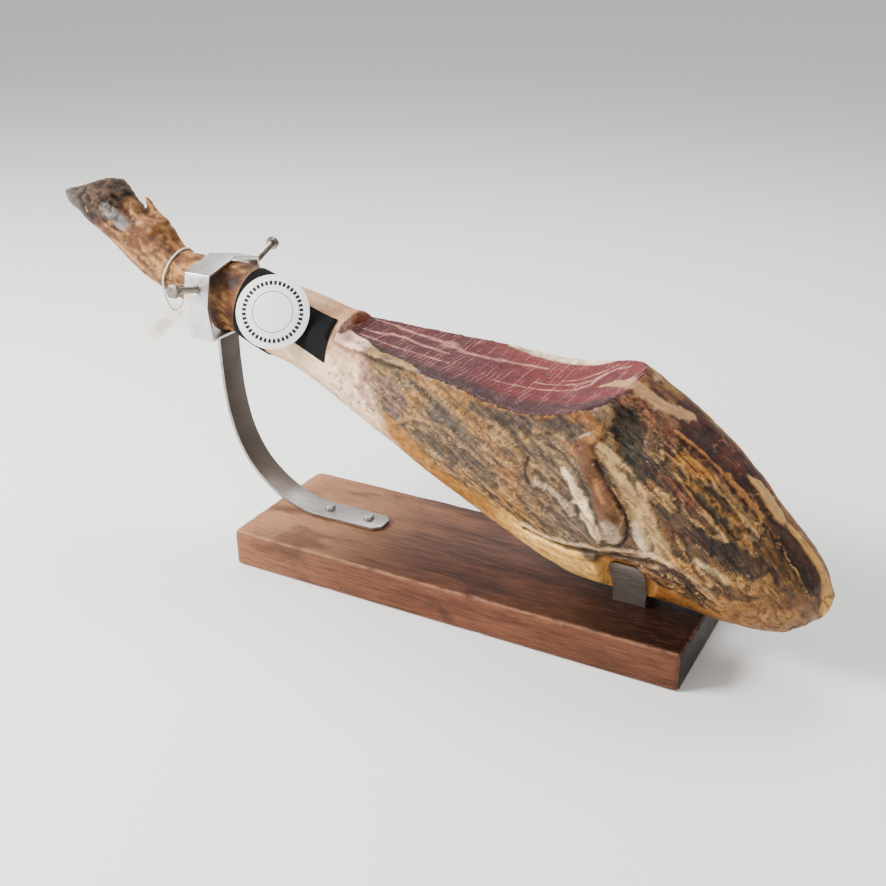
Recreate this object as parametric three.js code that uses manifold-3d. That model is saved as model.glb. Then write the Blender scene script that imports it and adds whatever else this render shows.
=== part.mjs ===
// A whole cured ham on its carving stand: a plank, a bent steel arm with a clamp ring round
// the shank, and a steel cradle under the rump. Millimetres, +Z up. The origin is the middle of
// the plank's underside, +X runs along the plank to the rump and -Y is the carver's side.
import * as THREE from 'three';
import { mergeVertices } from 'three/addons/utils/BufferGeometryUtils.js';
import Module from 'manifold-3d';

const wasm = await Module();
wasm.setup();

// Driving dimensions
const PLANK = { length: 480, width: 160, height: 40, bevel: 2.5, corner: 5, backLeftCorner: 12 };
const GAP = 0.3;                       // clearance between pieces that touch
const BAR = { width: 31, thick: 4, footEnd: -104, chamfer: 8 };
const RING = { x: -291, width: 30, thick: 3, top: 307, bottom: 228 };
const BOLT = { flat: 10, tall: 5, x: [-172, -124] };
const SCREW = { shaft: 3.6, flat: 13, tall: 5.5, tip: -13 };
const CRADLE = {
  x: 171, length: 32, thick: 2.5, halfGap: 20, height: 44, bend: 14, lean: 0.25, ear: 4,
};
const CUT = { startX: -133, endX: 188, halfWidth: 92, roof: 330 };
const HAM_STEPS = { round: 44, along: 92 };
const LABEL = { bandFrom: 0.418, bandTo: 0.461, cardFrom: 0.492, cardTo: 0.546, discRadius: 36.3 };
const SEAL = { at: 0.303, radius: 1.2, lift: 1.6 };
const TAG = { width: 18, length: 62, thick: 0.6, hole: 2.2, turn: 0.85, middle: [-376, 0, 221] };

// Colours taken by eye
const steel = new THREE.MeshStandardMaterial({ color: 0xb4b0ac, roughness: 0.4, metalness: 1 });
const darkSteel = new THREE.MeshStandardMaterial({ color: 0x6a6765, roughness: 0.5, metalness: 1 });
const wood = new THREE.MeshStandardMaterial({ color: 0x5b3322, roughness: 0.55 });
const ham = new THREE.MeshStandardMaterial({ color: 0x9a6a3c, roughness: 0.6 });
const whitePlastic = new THREE.MeshStandardMaterial({ color: 0xe8e4da, roughness: 0.4 });
const whiteCard = new THREE.MeshStandardMaterial({ color: 0xf2f0ea, roughness: 0.7 });
const blackCard = new THREE.MeshStandardMaterial({ color: 0x121212, roughness: 0.6 });

const stand = new THREE.Group();

function addMesh(name, geometry, material) {
  const mesh = new THREE.Mesh(geometry, material);
  mesh.name = name;
  stand.add(mesh);
}

// Booleans
function toSolid(geometry) {
  const bare = geometry.clone();
  bare.deleteAttribute('normal');
  bare.deleteAttribute('uv');
  const merged = mergeVertices(bare, 1e-3);
  return new wasm.Manifold(new wasm.Mesh({
    numProp: 3,
    vertProperties: new Float32Array(merged.attributes.position.array),
    triVerts: new Uint32Array(merged.index.array),
  }));
}

function toGeometry(solid) {
  const mesh = solid.getMesh();
  const geometry = new THREE.BufferGeometry();
  const position = new THREE.BufferAttribute(new Float32Array(mesh.vertProperties), 3);
  geometry.setAttribute('position', position);
  geometry.setIndex(new THREE.BufferAttribute(new Uint32Array(mesh.triVerts), 1));
  return geometry;
}

function body(vertices, faces) {
  const geometry = new THREE.BufferGeometry();
  geometry.setAttribute('position', new THREE.Float32BufferAttribute(vertices, 3));
  geometry.setIndex(faces);
  return geometry;
}

// Closed skin over a row of rings of points; the last ring joins the first, or both are capped
function loft(rings, joined = false) {
  const round = rings[0].length;
  const vertices = rings.flat().flatMap((p) => [p.x, p.y, p.z]);
  const faces = [];
  const spans = joined ? rings.length : rings.length - 1;
  const at = (i, k) => (i % rings.length) * round + k % round;
  for (let i = 0; i < spans; i++) {
    for (let k = 0; k < round; k++) {
      const [a, b, c, d] = [at(i, k), at(i, k + 1), at(i + 1, k + 1), at(i + 1, k)];
      faces.push(a, b, d, b, c, d);
    }
  }
  if (!joined) {
    for (const [ring, last] of [[0, false], [rings.length - 1, true]]) {
      const centre = rings[ring].reduce((sum, p) => sum.add(p), new THREE.Vector3());
      centre.divideScalar(round);
      const middle = vertices.length / 3;
      vertices.push(centre.x, centre.y, centre.z);
      for (let k = 0; k < round; k++) {
        const [a, b] = [at(ring, k), at(ring, k + 1)];
        faces.push(middle, last ? a : b, last ? b : a);
      }
    }
  }
  return body(vertices, faces);
}

// Closed slab between two sheets of points, given as functions of a column and a row
function slab(lowPoint, highPoint, columns, rows) {
  const vertices = [];
  const faces = [];
  for (const sheet of [lowPoint, highPoint]) {
    for (let i = 0; i <= columns; i++) {
      for (let k = 0; k <= rows; k++) {
        const p = sheet(i / columns, k / rows);
        vertices.push(p.x, p.y, p.z);
      }
    }
  }
  const up = (columns + 1) * (rows + 1);
  const at = (i, k) => i * (rows + 1) + k;
  for (let i = 0; i < columns; i++) {
    for (let k = 0; k < rows; k++) {
      const [a, b, c, d] = [at(i, k), at(i + 1, k), at(i + 1, k + 1), at(i, k + 1)];
      faces.push(a, d, c, a, c, b);
      faces.push(a + up, c + up, d + up, a + up, b + up, c + up);
    }
  }
  const wall = (a, b) => faces.push(a, b, b + up, a, b + up, a + up);
  for (let i = 0; i < columns; i++) {
    wall(at(i, 0), at(i + 1, 0));
    wall(at(i + 1, rows), at(i, rows));
  }
  for (let k = 0; k < rows; k++) {
    wall(at(0, k + 1), at(0, k));
    wall(at(columns, k), at(columns, k + 1));
  }
  return body(vertices, faces);
}

// Shapes drawn in YZ and pushed along +X from x = 0
function extrudeAlongX(shape, length) {
  const geometry = new THREE.ExtrudeGeometry(shape, { depth: length, bevelEnabled: false });
  const turn = new THREE.Matrix4().makeBasis(new THREE.Vector3(0, 1, 0),
    new THREE.Vector3(0, 0, 1), new THREE.Vector3(1, 0, 0));
  return geometry.applyMatrix4(turn);
}

// Shapes drawn in XZ and pushed along Y, with their middle at y = 0
function extrudeAlongY(shape, width, bevel = 0, curveSegments = 6) {
  const geometry = new THREE.ExtrudeGeometry(shape, {
    depth: width - 2 * bevel,
    bevelEnabled: bevel > 0,
    bevelThickness: bevel,
    bevelSize: bevel,
    bevelOffset: -bevel,
    bevelSegments: 1,
    curveSegments,
  });
  geometry.translate(0, 0, -(width - 2 * bevel) / 2);
  geometry.rotateX(Math.PI / 2);
  return geometry;
}

function polygon(points) {
  return new THREE.Shape(points.map(([a, b]) => new THREE.Vector2(a, b)));
}

// Plank, with one rounder corner at the back left
function makePlank() {
  const halfL = PLANK.length / 2;
  const halfW = PLANK.width / 2;
  const r = PLANK.corner;
  const big = PLANK.backLeftCorner;
  const shape = new THREE.Shape();
  shape.moveTo(-halfL + r, -halfW);
  shape.lineTo(halfL - r, -halfW);
  shape.absarc(halfL - r, -halfW + r, r, -Math.PI / 2, 0);
  shape.lineTo(halfL, halfW - r);
  shape.absarc(halfL - r, halfW - r, r, 0, Math.PI / 2);
  shape.lineTo(-halfL + big, halfW);
  shape.absarc(-halfL + big, halfW - big, big, Math.PI / 2, Math.PI);
  shape.lineTo(-halfL, -halfW + r);
  shape.absarc(-halfL + r, -halfW + r, r, Math.PI, 1.5 * Math.PI);
  const geometry = new THREE.ExtrudeGeometry(shape, {
    depth: PLANK.height - 2 * PLANK.bevel,
    bevelThickness: PLANK.bevel,
    bevelSize: PLANK.bevel,
    bevelOffset: -PLANK.bevel,
    bevelSegments: 2,
    curveSegments: 5,
  });
  geometry.translate(0, 0, PLANK.bevel);
  addMesh('board', geometry, wood);
}

// Arm: flat bar that lies on the plank, sweeps out past its end and rises under the ring
const ARM_TOP = RING.bottom - GAP;

function armCentreLine() {
  const footZ = PLANK.height + GAP + BAR.thick / 2;
  const points = [[BAR.footEnd, footZ], [-140, footZ], [-182, footZ], [-210, footZ + 6],
    [-232, footZ + 17], [-258, footZ + 39], [-276, footZ + 69], [-286, footZ + 106],
    [-290, footZ + 146], [RING.x, ARM_TOP]];
  return new THREE.CatmullRomCurve3(points.map(([x, z]) => new THREE.Vector3(x, 0, z)),
    false, 'centripetal');
}

function makeArm() {
  const curve = armCentreLine();
  const steps = 36;
  const reach = BAR.thick / 2;
  const outer = [];
  const inner = [];
  for (let i = 0; i <= steps; i++) {
    const p = curve.getPointAt(i / steps);
    const t = curve.getTangentAt(i / steps);
    // over the plank, the underside never dips into it
    const lowest = p.x > -PLANK.length / 2 - 2 * BAR.thick ? PLANK.height + GAP : 0;
    const under = p.z + t.x * reach;
    outer.push([p.x - t.z * reach, Math.max(under, lowest)]);
    inner.push([p.x + t.z * reach, Math.max(p.z - t.x * reach, lowest + BAR.thick)]);
  }
  outer[steps][1] = ARM_TOP;
  inner[steps][1] = ARM_TOP;
  const edge = 0.5;
  let bar = toSolid(extrudeAlongY(polygon(inner.concat(outer.reverse())), BAR.width, edge));
  // the foot's end has its two corners cut off
  const half = BAR.width / 2;
  for (const side of [-1, 1]) {
    const corner = polygon([
      [BAR.footEnd + 1, side * (half - BAR.chamfer)],
      [BAR.footEnd + 1, side * (half + BAR.thick)],
      [BAR.footEnd - BAR.chamfer - 1, side * (half + BAR.thick)],
      [BAR.footEnd - BAR.chamfer - 1, side * (half + 1)],
    ]);
    const tool = new THREE.ExtrudeGeometry(corner, { depth: 3 * BAR.thick, bevelEnabled: false });
    tool.translate(0, 0, PLANK.height - BAR.thick);
    bar = bar.subtract(toSolid(tool));
  }
  addMesh('arm', toGeometry(bar), steel);
}

// Hexagon head with a slightly domed top, standing on z = 0
function hexHead(flat, tall) {
  const r = flat / Math.sqrt(3);
  const profile = [[0, 0], [r, 0], [r, tall * 0.78], [r * 0.84, tall], [r * 0.3, tall],
    [0, tall * 0.9]];
  return new THREE.LatheGeometry(profile.map(([a, b]) => new THREE.Vector2(a, b)), 6)
    .rotateX(Math.PI / 2);
}

function makeFootBolts() {
  const top = PLANK.height + GAP + BAR.thick + GAP;
  BOLT.x.forEach((x, i) => {
    const head = hexHead(BOLT.flat, BOLT.tall).translate(x, 0, top);
    addMesh(`foot_bolt_${i + 1}`, head, steel);
  });
}

// Ring: band bent to seven flats, open along X; the inset outline is its inside
function ringOutline(inset) {
  const shoulder = [41 - inset * 0.7, RING.top - 10 - inset];
  const waist = [48 - inset, 265];
  const floor = [42 - inset * 0.8, RING.bottom + inset];
  const right = [shoulder, waist, floor];
  const left = right.map(([y, z]) => [-y, z]).reverse();
  return [[0, RING.top - inset], ...right, ...left];
}

// Where each clamp screw goes through the ring, how far it leans up and how far it stands out
const SCREWS = {
  front: { side: -1, y: 44.6, z: 282, lean: 12 * Math.PI / 180, reach: 31 },
  back: { side: 1, y: 44.6, z: 282, lean: 21 * Math.PI / 180, reach: 43 },
};

function placeScrew(geometry, { side, y, z, lean }) {
  const out = new THREE.Vector3(0, side * Math.cos(lean), Math.sin(lean));
  const turn = new THREE.Quaternion().setFromUnitVectors(new THREE.Vector3(0, 0, 1), out);
  return geometry.applyQuaternion(turn).translate(RING.x, side * y, z);
}

function rod(radius, from, to, sides = 12) {
  const geometry = new THREE.CylinderGeometry(radius, radius, to - from, sides);
  return geometry.rotateX(Math.PI / 2).translate(0, 0, (from + to) / 2);
}

function makeRing() {
  const shape = polygon(ringOutline(0).reverse());
  shape.holes.push(polygon(ringOutline(RING.thick)));
  const band = extrudeAlongX(shape, RING.width).translate(RING.x - RING.width / 2, 0, 0);
  let solid = toSolid(band);
  const reach = 3 * RING.thick;
  for (const screw of Object.values(SCREWS)) {
    const hole = placeScrew(rod(SCREW.shaft + GAP, -reach, reach, 16), screw);
    solid = solid.subtract(toSolid(hole));
  }
  addMesh('clamp_ring', toGeometry(solid), steel);
}

// Clamp screws: hexagon head on a round shaft, whose tip presses into the shank
function makeScrews() {
  for (const [label, screw] of Object.entries(SCREWS)) {
    const shaft = toSolid(rod(SCREW.shaft, SCREW.tip, screw.reach + 1));
    const head = hexHead(SCREW.flat, SCREW.tall).translate(0, 0, screw.reach);
    const whole = placeScrew(toGeometry(shaft.add(toSolid(head))), screw);
    addMesh(`clamp_screw_${label}`, whole, steel);
  }
}

// Cradle: strip on the plank with a leaning tab at each side of the ham's keel
function makeCradle() {
  const half = CRADLE.length / 2;
  const baseZ = PLANK.height + GAP;
  const bend = CRADLE.bend;
  const strip = new THREE.BoxGeometry(CRADLE.length, 2 * CRADLE.halfGap + 2, CRADLE.thick);
  strip.translate(CRADLE.x, 0, baseZ + CRADLE.thick / 2);
  let solid = toSolid(strip);
  for (const side of [-1, 1]) {
    const foot = new THREE.BoxGeometry(CRADLE.length, CRADLE.thick, bend);
    foot.translate(CRADLE.x, side * (CRADLE.halfGap + CRADLE.thick / 2), baseZ + bend / 2);
    const [right, left] = [14, 7];     // corner radii of the tab's top
    const earX = -half - CRADLE.ear;
    const shape = new THREE.Shape();
    shape.moveTo(-half, bend - 0.5);
    shape.lineTo(half, bend - 0.5);
    shape.absarc(half - right, CRADLE.height - right, right, 0, Math.PI / 2);
    shape.absarc(earX + left, CRADLE.height - left, left, Math.PI / 2, Math.PI);
    const tab = extrudeAlongY(shape, CRADLE.thick);
    const position = tab.attributes.position;
    for (let i = 0; i < position.count; i++) {
      const lift = Math.max(0, position.getZ(i) - bend);
      const y = position.getY(i) + side * (CRADLE.halfGap + CRADLE.thick / 2 + lift * CRADLE.lean);
      position.setXYZ(i, position.getX(i) + CRADLE.x, y, position.getZ(i) + baseZ);
    }
    solid = solid.add(toSolid(foot)).add(toSolid(tab));
  }
  addMesh('cradle', toGeometry(solid), darkSteel);
}

// Ham: sections laid across a row of ribs. Each rib has its bottom and its top point in the
// XZ plane, its reach to the front and to the back, and the squareness of its two halves.
const RIBS = [
  { bottom: [-489, 346], top: [-492, 354], front: 7, back: 7, upper: 2, lower: 2 },
  { bottom: [-471, 337], top: [-474, 358], front: 19, back: 19, upper: 2.6, lower: 2.6 },
  { bottom: [-449, 321], top: [-445, 367], front: 24, back: 24, upper: 2.6, lower: 2.4 },
  { bottom: [-431, 308], top: [-422, 369], front: 25, back: 25, upper: 2.3, lower: 2.2 },
  { bottom: [-411, 292], top: [-398, 343], front: 24, back: 24, upper: 2.1, lower: 2.1 },
  { bottom: [-391, 276], top: [-376, 328], front: 23, back: 23, upper: 2.1, lower: 2.1 },
  { bottom: [-361, 261], top: [-343, 306], front: 22, back: 22, upper: 2, lower: 2 },
  { bottom: [-316, 246], top: [-300, 301], front: 26, back: 25, upper: 2, lower: 2 },
  { bottom: [-277, 232], top: [-262, 300], front: 30, back: 30, upper: 2.1, lower: 2.1 },
  { bottom: [-236, 216], top: [-222, 288], front: 36, back: 35, upper: 2.1, lower: 2.1 },
  { bottom: [-187, 203], top: [-180, 279], front: 40, back: 38, upper: 2.2, lower: 2.1 },
  { bottom: [-138, 179], top: [-136, 269], front: 45, back: 42, upper: 2.2, lower: 2.1 },
  { bottom: [-86, 149], top: [-78, 280], front: 54, back: 48, upper: 2.2, lower: 2 },
  { bottom: [-24, 113], top: [-6, 290], front: 64, back: 56, upper: 2.2, lower: 1.9 },
  { bottom: [50, 76], top: [72, 293], front: 73, back: 62, upper: 2.3, lower: 1.8 },
  { bottom: [112, 50], top: [134, 272], front: 76, back: 63, upper: 2.9, lower: 1.75 },
  { bottom: [171, 43.8], top: [190, 239], front: 74, back: 60, upper: 3.2, lower: 1.55 },
  { bottom: [222, 43.8], top: [247, 197], front: 66, back: 54, upper: 3.2, lower: 1.6 },
  { bottom: [266, 40.5], top: [295, 150], front: 52, back: 44, upper: 2.8, lower: 1.8 },
  { bottom: [309, 45], top: [334, 112], front: 34, back: 30, upper: 2.4, lower: 1.9 },
  { bottom: [340, 66], top: [347, 86], front: 12, back: 12, upper: 2, lower: 2 },
];

function ribCurve(end) {
  return new THREE.CatmullRomCurve3(RIBS.map((rib) => new THREE.Vector3(rib[end][0], 0, rib[end][1])),
    false, 'centripetal');
}

const bottoms = ribCurve('bottom');
const tops = ribCurve('top');

// A rib's value at u, on a smooth curve through the values of the ribs
function ribValue(key, u) {
  const place = u * (RIBS.length - 1);
  const i = Math.min(Math.floor(place), RIBS.length - 2);
  const at = (k) => RIBS[Math.min(Math.max(k, 0), RIBS.length - 1)][key];
  const t = place - i;
  const slopeA = (at(i + 1) - at(i - 1)) / 2;
  const slopeB = (at(i + 2) - at(i)) / 2;
  const t2 = t * t;
  const t3 = t2 * t;
  return (2 * t3 - 3 * t2 + 1) * at(i) + (t3 - 2 * t2 + t) * slopeA
    + (3 * t2 - 2 * t3) * at(i + 1) + (t3 - t2) * slopeB;
}

// Point of the ham's skin: u runs from hoof to rump, angle 0 is the back, a quarter turn the top
function skinPoint(u, angle, lift = 0) {
  const b = bottoms.getPoint(u);
  const t = tops.getPoint(u);
  const c = Math.cos(angle);
  const s = Math.sin(angle);
  const power = 2 / ribValue(s > 0 ? 'upper' : 'lower', u);
  const side = Math.sign(c) * Math.abs(c) ** power;
  const up = Math.sign(s) * Math.abs(s) ** power;
  const middle = b.clone().lerp(t, 0.5);
  const halfRib = t.clone().sub(b).multiplyScalar(0.5);
  const stretch = 1 + lift / halfRib.length();
  const y = side * (ribValue(c > 0 ? 'back' : 'front', u) + lift);
  return middle.addScaledVector(halfRib, up * stretch).add(new THREE.Vector3(0, y, 0));
}

// Relief of the rump's inner face: dents and knobs, each a soft spot in X and Z
const FACE_RELIEF = [
  { at: [176, 232], size: [17, 26], rise: -9 },
  { at: [137, 190], size: [9, 24], rise: 5 },
  { at: [156, 150], size: [11, 20], rise: 7 },
  { at: [188, 165], size: [13, 34], rise: -5 },
  { at: [-118, 232], size: [22, 26], rise: 3 },
  { at: [60, 120], size: [60, 12], rise: -3 },
];

function faceRelief(p) {
  let rise = 0;
  for (const spot of FACE_RELIEF) {
    const dx = (p.x - spot.at[0]) / spot.size[0];
    const dz = (p.z - spot.at[1]) / spot.size[1];
    rise += spot.rise * Math.exp(-(dx * dx + dz * dz));
  }
  return rise;
}

function hamSkin() {
  const rings = [];
  for (let i = 0; i <= HAM_STEPS.along; i++) {
    const u = i / HAM_STEPS.along;
    const ring = [];
    for (let k = 0; k < HAM_STEPS.round; k++) {
      const p = skinPoint(u, 2 * Math.PI * k / HAM_STEPS.round);
      const onFace = THREE.MathUtils.clamp(-p.y / 30, 0, 1);
      p.y -= faceRelief(p) * onFace;
      ring.push(p);
    }
    rings.push(ring);
  }
  return loft(rings);
}

// Height of the carved surface: it sinks towards the rump, then sweeps up to the ridge
const CUT_HEIGHTS = [[-133, 258], [-73, 250.5], [-23, 246.5], [12, 243.5], [40, 239],
  [68, 236.5], [93, 238], [115, 243], [141, 252], [158, 261], [188, 280]];

function cutHeight(x, y) {
  let i = 0;
  while (i < CUT_HEIGHTS.length - 2 && x > CUT_HEIGHTS[i + 1][0]) i++;
  const [x0, z0] = CUT_HEIGHTS[i];
  const [x1, z1] = CUT_HEIGHTS[i + 1];
  const t = (x - x0) / (x1 - x0);
  const soft = t * t * (3 - 2 * t) * 0.4 + t * 0.6;
  const slope = 0.03 + 0.05 * THREE.MathUtils.smoothstep(x, -20, 60);
  return z0 + (z1 - z0) * soft + y * slope - 3 * Math.cos(Math.PI * y / 120);
}

function carvingTool() {
  const place = (along, across) => [CUT.startX + (CUT.endX - CUT.startX) * along,
    CUT.halfWidth * (2 * across - 1)];
  const floor = (along, across) => {
    const [x, y] = place(along, across);
    return new THREE.Vector3(x, y, cutHeight(x, y));
  };
  const roof = (along, across) => new THREE.Vector3(...place(along, across), CUT.roof);
  return slab(floor, roof, 30, 14);
}

// Dewclaw: horn behind the hoof, from its root to its tip
function dewclaw(side) {
  const line = new THREE.CatmullRomCurve3([[-374, 9, 318], [-385, 12, 335], [-395, 12, 354]]
    .map(([x, y, z]) => new THREE.Vector3(x, side * y, z)));
  const steps = 6;
  const sides = 10;
  const rings = [];
  for (let i = 0; i <= steps; i++) {
    const p = line.getPoint(i / steps);
    const radius = 11 * (1 - i / steps) ** 0.6 + 0.6;
    rings.push(Array.from({ length: sides }, (_, k) => {
      const angle = 2 * Math.PI * k / sides;
      const [c, s] = [Math.cos(angle), Math.sin(angle)];
      return new THREE.Vector3(p.x + radius * c, p.y + 0.8 * radius * s, p.z + 0.45 * radius * c);
    }));
  }
  return loft(rings);
}

// Space that the cradle's tab takes, open to the outside and upwards, as the tab dents the ham
function cradleNotch(side) {
  const low = PLANK.height;
  const bend = low + CRADLE.bend;
  const high = low + CRADLE.height + 5 * GAP;
  const inside = CRADLE.halfGap - GAP;
  const lean = (high - bend) * CRADLE.lean;
  const far = 95;
  const rise = 0.62 * (far - inside);
  const wedge = polygon([[side * inside, low - 4], [side * inside, bend],
    [side * (inside + lean), high], [side * far, high + rise], [side * far, low - 4]]);
  const start = CRADLE.x - CRADLE.length / 2 - CRADLE.ear - 1;
  return extrudeAlongX(wedge, CRADLE.length + CRADLE.ear + 2).translate(start, 0, 0);
}

function makeHam() {
  const cleft = new THREE.BoxGeometry(36, 4, 60).translate(-486, 0, 345);
  const cuts = [carvingTool(), cleft, cradleNotch(-1), cradleNotch(1)];
  for (const screw of Object.values(SCREWS)) {
    cuts.push(placeScrew(rod(SCREW.shaft + 2 * GAP, SCREW.tip - GAP, 20), screw));
  }
  let solid = toSolid(hamSkin()).add(toSolid(dewclaw(-1))).add(toSolid(dewclaw(1)));
  for (const cut of cuts) {
    solid = solid.subtract(toSolid(cut));
  }
  addMesh('ham', toGeometry(solid), ham);
}

// Label: a band round the shank, a card beside it that follows the skin, and a round card
const CARD_ANGLES = [114 * Math.PI / 180, 174 * Math.PI / 180];

function makeLabel() {
  const ring = (u, lift) => Array.from({ length: HAM_STEPS.round },
    (_, k) => skinPoint(u, 2 * Math.PI * k / HAM_STEPS.round, lift));
  const bandAt = [0, 0.5, 1].map((t) => THREE.MathUtils.lerp(LABEL.bandFrom, LABEL.bandTo, t));
  const outside = bandAt.map((u) => ring(u, 1.3));
  const inside = bandAt.map((u) => ring(u, 0.5)).reverse();
  addMesh('label_band', loft(outside.concat(inside), true), blackCard);

  const onSkin = (lift) => (along, across) => skinPoint(
    THREE.MathUtils.lerp(LABEL.cardFrom, LABEL.cardTo, along),
    THREE.MathUtils.lerp(...CARD_ANGLES, across),
    lift,
  );
  addMesh('label_card', slab(onSkin(1.9), onSkin(1.1), 8, 12), blackCard);

  const facing = new THREE.Vector3(0.34, -0.84, 0.43).normalize();
  const turn = new THREE.Quaternion().setFromUnitVectors(new THREE.Vector3(0, 1, 0), facing);
  const disc = new THREE.CylinderGeometry(LABEL.discRadius, LABEL.discRadius, 1, 56);
  disc.applyQuaternion(turn).translate(-197.5, -46, 273.5);
  addMesh('label_disc', disc, whiteCard);
}

function tube(points, radius, steps, curveSegments) {
  const shape = new THREE.Shape().absarc(0, 0, radius, 0, 2 * Math.PI);
  return new THREE.ExtrudeGeometry(shape, {
    steps, curveSegments, extrudePath: new THREE.CatmullRomCurve3(points, true), bevelEnabled: false,
  });
}

// Seal: a plastic loop round the shank above the clamp, which hangs through the tag's hole
function makeSeal() {
  const [half, end, clip] = [TAG.width / 2, TAG.length / 2, 5];
  const shape = polygon([[-half, -end], [half, -end], [half, end - clip], [half - clip, end],
    [clip - half, end], [-half, end - clip]]);
  const holeAt = end - 2.5 * TAG.hole;
  shape.holes.push(new THREE.Path().absarc(0, holeAt, TAG.hole, 0, 2 * Math.PI));
  const tag = extrudeAlongY(shape, TAG.thick).rotateY(TAG.turn).translate(...TAG.middle);
  addMesh('hang_tag', tag, whiteCard);

  const hole = new THREE.Vector3(0, 0, holeAt).applyAxisAngle(new THREE.Vector3(0, 1, 0), TAG.turn)
    .add(new THREE.Vector3(...TAG.middle));
  const drop = hole.sub(skinPoint(SEAL.at, 1.5 * Math.PI, SEAL.lift));
  const points = Array.from({ length: 24 }, (_, k) => {
    const angle = 2 * Math.PI * k / 24;
    const hang = Math.max(0, -Math.sin(angle)) ** 2;
    return skinPoint(SEAL.at, angle, SEAL.lift).addScaledVector(drop, hang);
  });
  const ring = new THREE.Shape().absarc(0, 0, SEAL.radius, 0, 2 * Math.PI);
  const extrudePath = new THREE.CatmullRomCurve3(points, true);
  const loop = new THREE.ExtrudeGeometry(ring, { steps: 40, curveSegments: 3, extrudePath });
  addMesh('seal_loop', loop, whitePlastic);
}

makePlank();
makeArm();
makeFootBolts();
makeRing();
makeScrews();
makeCradle();
makeHam();
makeLabel();
makeSeal();

export default stand;
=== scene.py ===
import itertools
import math

import bpy
import numpy as np
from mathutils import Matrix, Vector


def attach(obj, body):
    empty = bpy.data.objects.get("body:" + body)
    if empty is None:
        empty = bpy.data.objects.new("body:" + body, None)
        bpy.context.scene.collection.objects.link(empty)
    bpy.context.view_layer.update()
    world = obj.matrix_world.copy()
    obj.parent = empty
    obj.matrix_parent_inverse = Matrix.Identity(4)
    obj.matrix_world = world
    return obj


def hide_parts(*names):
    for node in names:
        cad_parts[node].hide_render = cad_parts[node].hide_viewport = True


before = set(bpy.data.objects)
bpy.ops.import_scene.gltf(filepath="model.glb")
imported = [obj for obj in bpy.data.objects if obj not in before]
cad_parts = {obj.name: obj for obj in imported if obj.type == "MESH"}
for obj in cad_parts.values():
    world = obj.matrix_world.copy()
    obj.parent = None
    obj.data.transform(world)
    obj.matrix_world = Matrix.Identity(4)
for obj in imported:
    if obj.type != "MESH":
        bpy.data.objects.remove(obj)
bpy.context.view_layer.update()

# Camera, floor and studio light. The camera stands at the carver's side, a little above the ham;
# the light comes from a big soft box at the left, and the room gets darker towards the right.
bpy.ops.object.camera_add(
    location=(0.456476, -0.926411, 0.629696),
    rotation=(math.radians(65.464), 0, math.radians(27.999)),
)
camera = bpy.context.active_object
camera.name = "studio_camera"
camera.data.lens = 47.8368
camera.data.sensor_fit = "HORIZONTAL"
camera.data.sensor_width = 36
bpy.context.scene.camera = camera

bpy.ops.mesh.primitive_plane_add(size=60, location=(0, 0, 0))
floor = bpy.context.active_object
floor.name = "studio_floor"
floor_paint = bpy.data.materials.new("studio_floor_paint")
floor_paint.use_nodes = True
floor_shader = floor_paint.node_tree.nodes["Principled BSDF"]
floor_shader.inputs["Base Color"].default_value = (0.86, 0.86, 0.85, 1)
floor_shader.inputs["Roughness"].default_value = 0.9
floor.data.materials.append(floor_paint)


def soft_box(name, place, aim, size, power, warmth):
    bpy.ops.object.light_add(type="AREA", location=place)
    lamp = bpy.context.active_object
    lamp.name = name
    lamp.data.shape = "RECTANGLE"
    lamp.data.size, lamp.data.size_y = size
    lamp.data.energy = power
    lamp.data.color = warmth
    lamp.rotation_euler = (Vector(aim) - Vector(place)).to_track_quat("-Z", "Y").to_euler()


soft_box("key_left", (-1.7, -1.25, 1.55), (0, 0, 0.18), (1, 0.8), 158, (1, 0.985, 0.965))
soft_box("top_back", (-0.2, 0.9, 1.9), (0, 0, 0.2), (1.4, 0.9), 34, (1, 1, 1))
soft_box("low_front", (0.7, -2, 0.9), (0.1, 0, 0.15), (1, 0.7), 16, (1, 0.99, 0.97))


def add(kind, inputs, output=0, **settings):
    """A shader node with its settings and its inputs, as values or as other nodes' outputs.
    It belongs to the canvas, the room or the material that was started last."""
    node = canvas.node_tree.nodes.new(kind)
    for key, value in settings.items():
        setattr(node, key, value)
    for key, value in inputs.items():
        if isinstance(value, bpy.types.NodeSocket):
            canvas.node_tree.links.new(value, node.inputs[key])
        else:
            node.inputs[key].default_value = value
    return node.outputs[output]


def spread(value, low, high, to_low=0, to_high=1, way="SMOOTHSTEP"):
    return add("ShaderNodeMapRange", {
        "Value": value, "From Min": low, "From Max": high, "To Min": to_low, "To Max": to_high,
    }, interpolation_type=way)


def sum_up(first, second, way="ADD"):
    return add("ShaderNodeMath", {0: first, 1: second}, operation=way)


def times(first, second):
    return sum_up(first, second, "MULTIPLY")


def axis_of(vector, axis):
    return add("ShaderNodeSeparateXYZ", {0: vector}, axis)


canvas = bpy.data.worlds.new("studio_room")
bpy.context.scene.world = canvas
canvas.use_nodes = True
room_way = add("ShaderNodeTexCoord", {}, "Generated")
room_side = spread(axis_of(room_way, "X"), -0.8, 0.9, 1.25, 0.42, "LINEAR")
room_top = spread(axis_of(room_way, "Z"), 0.1, 0.9, 1.15, 0.62, "LINEAR")
room_light = canvas.node_tree.nodes["Background"]
room_light.inputs["Color"].default_value = (1, 1, 1, 1)
canvas.node_tree.links.new(times(room_side, room_top), room_light.inputs["Strength"])

# Board: one plank of walnut-stained hardwood with oiled faces, worn arrises and a chip or two.
# Its ends show end grain. The ham's weight and the arm both stand on it.


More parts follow.
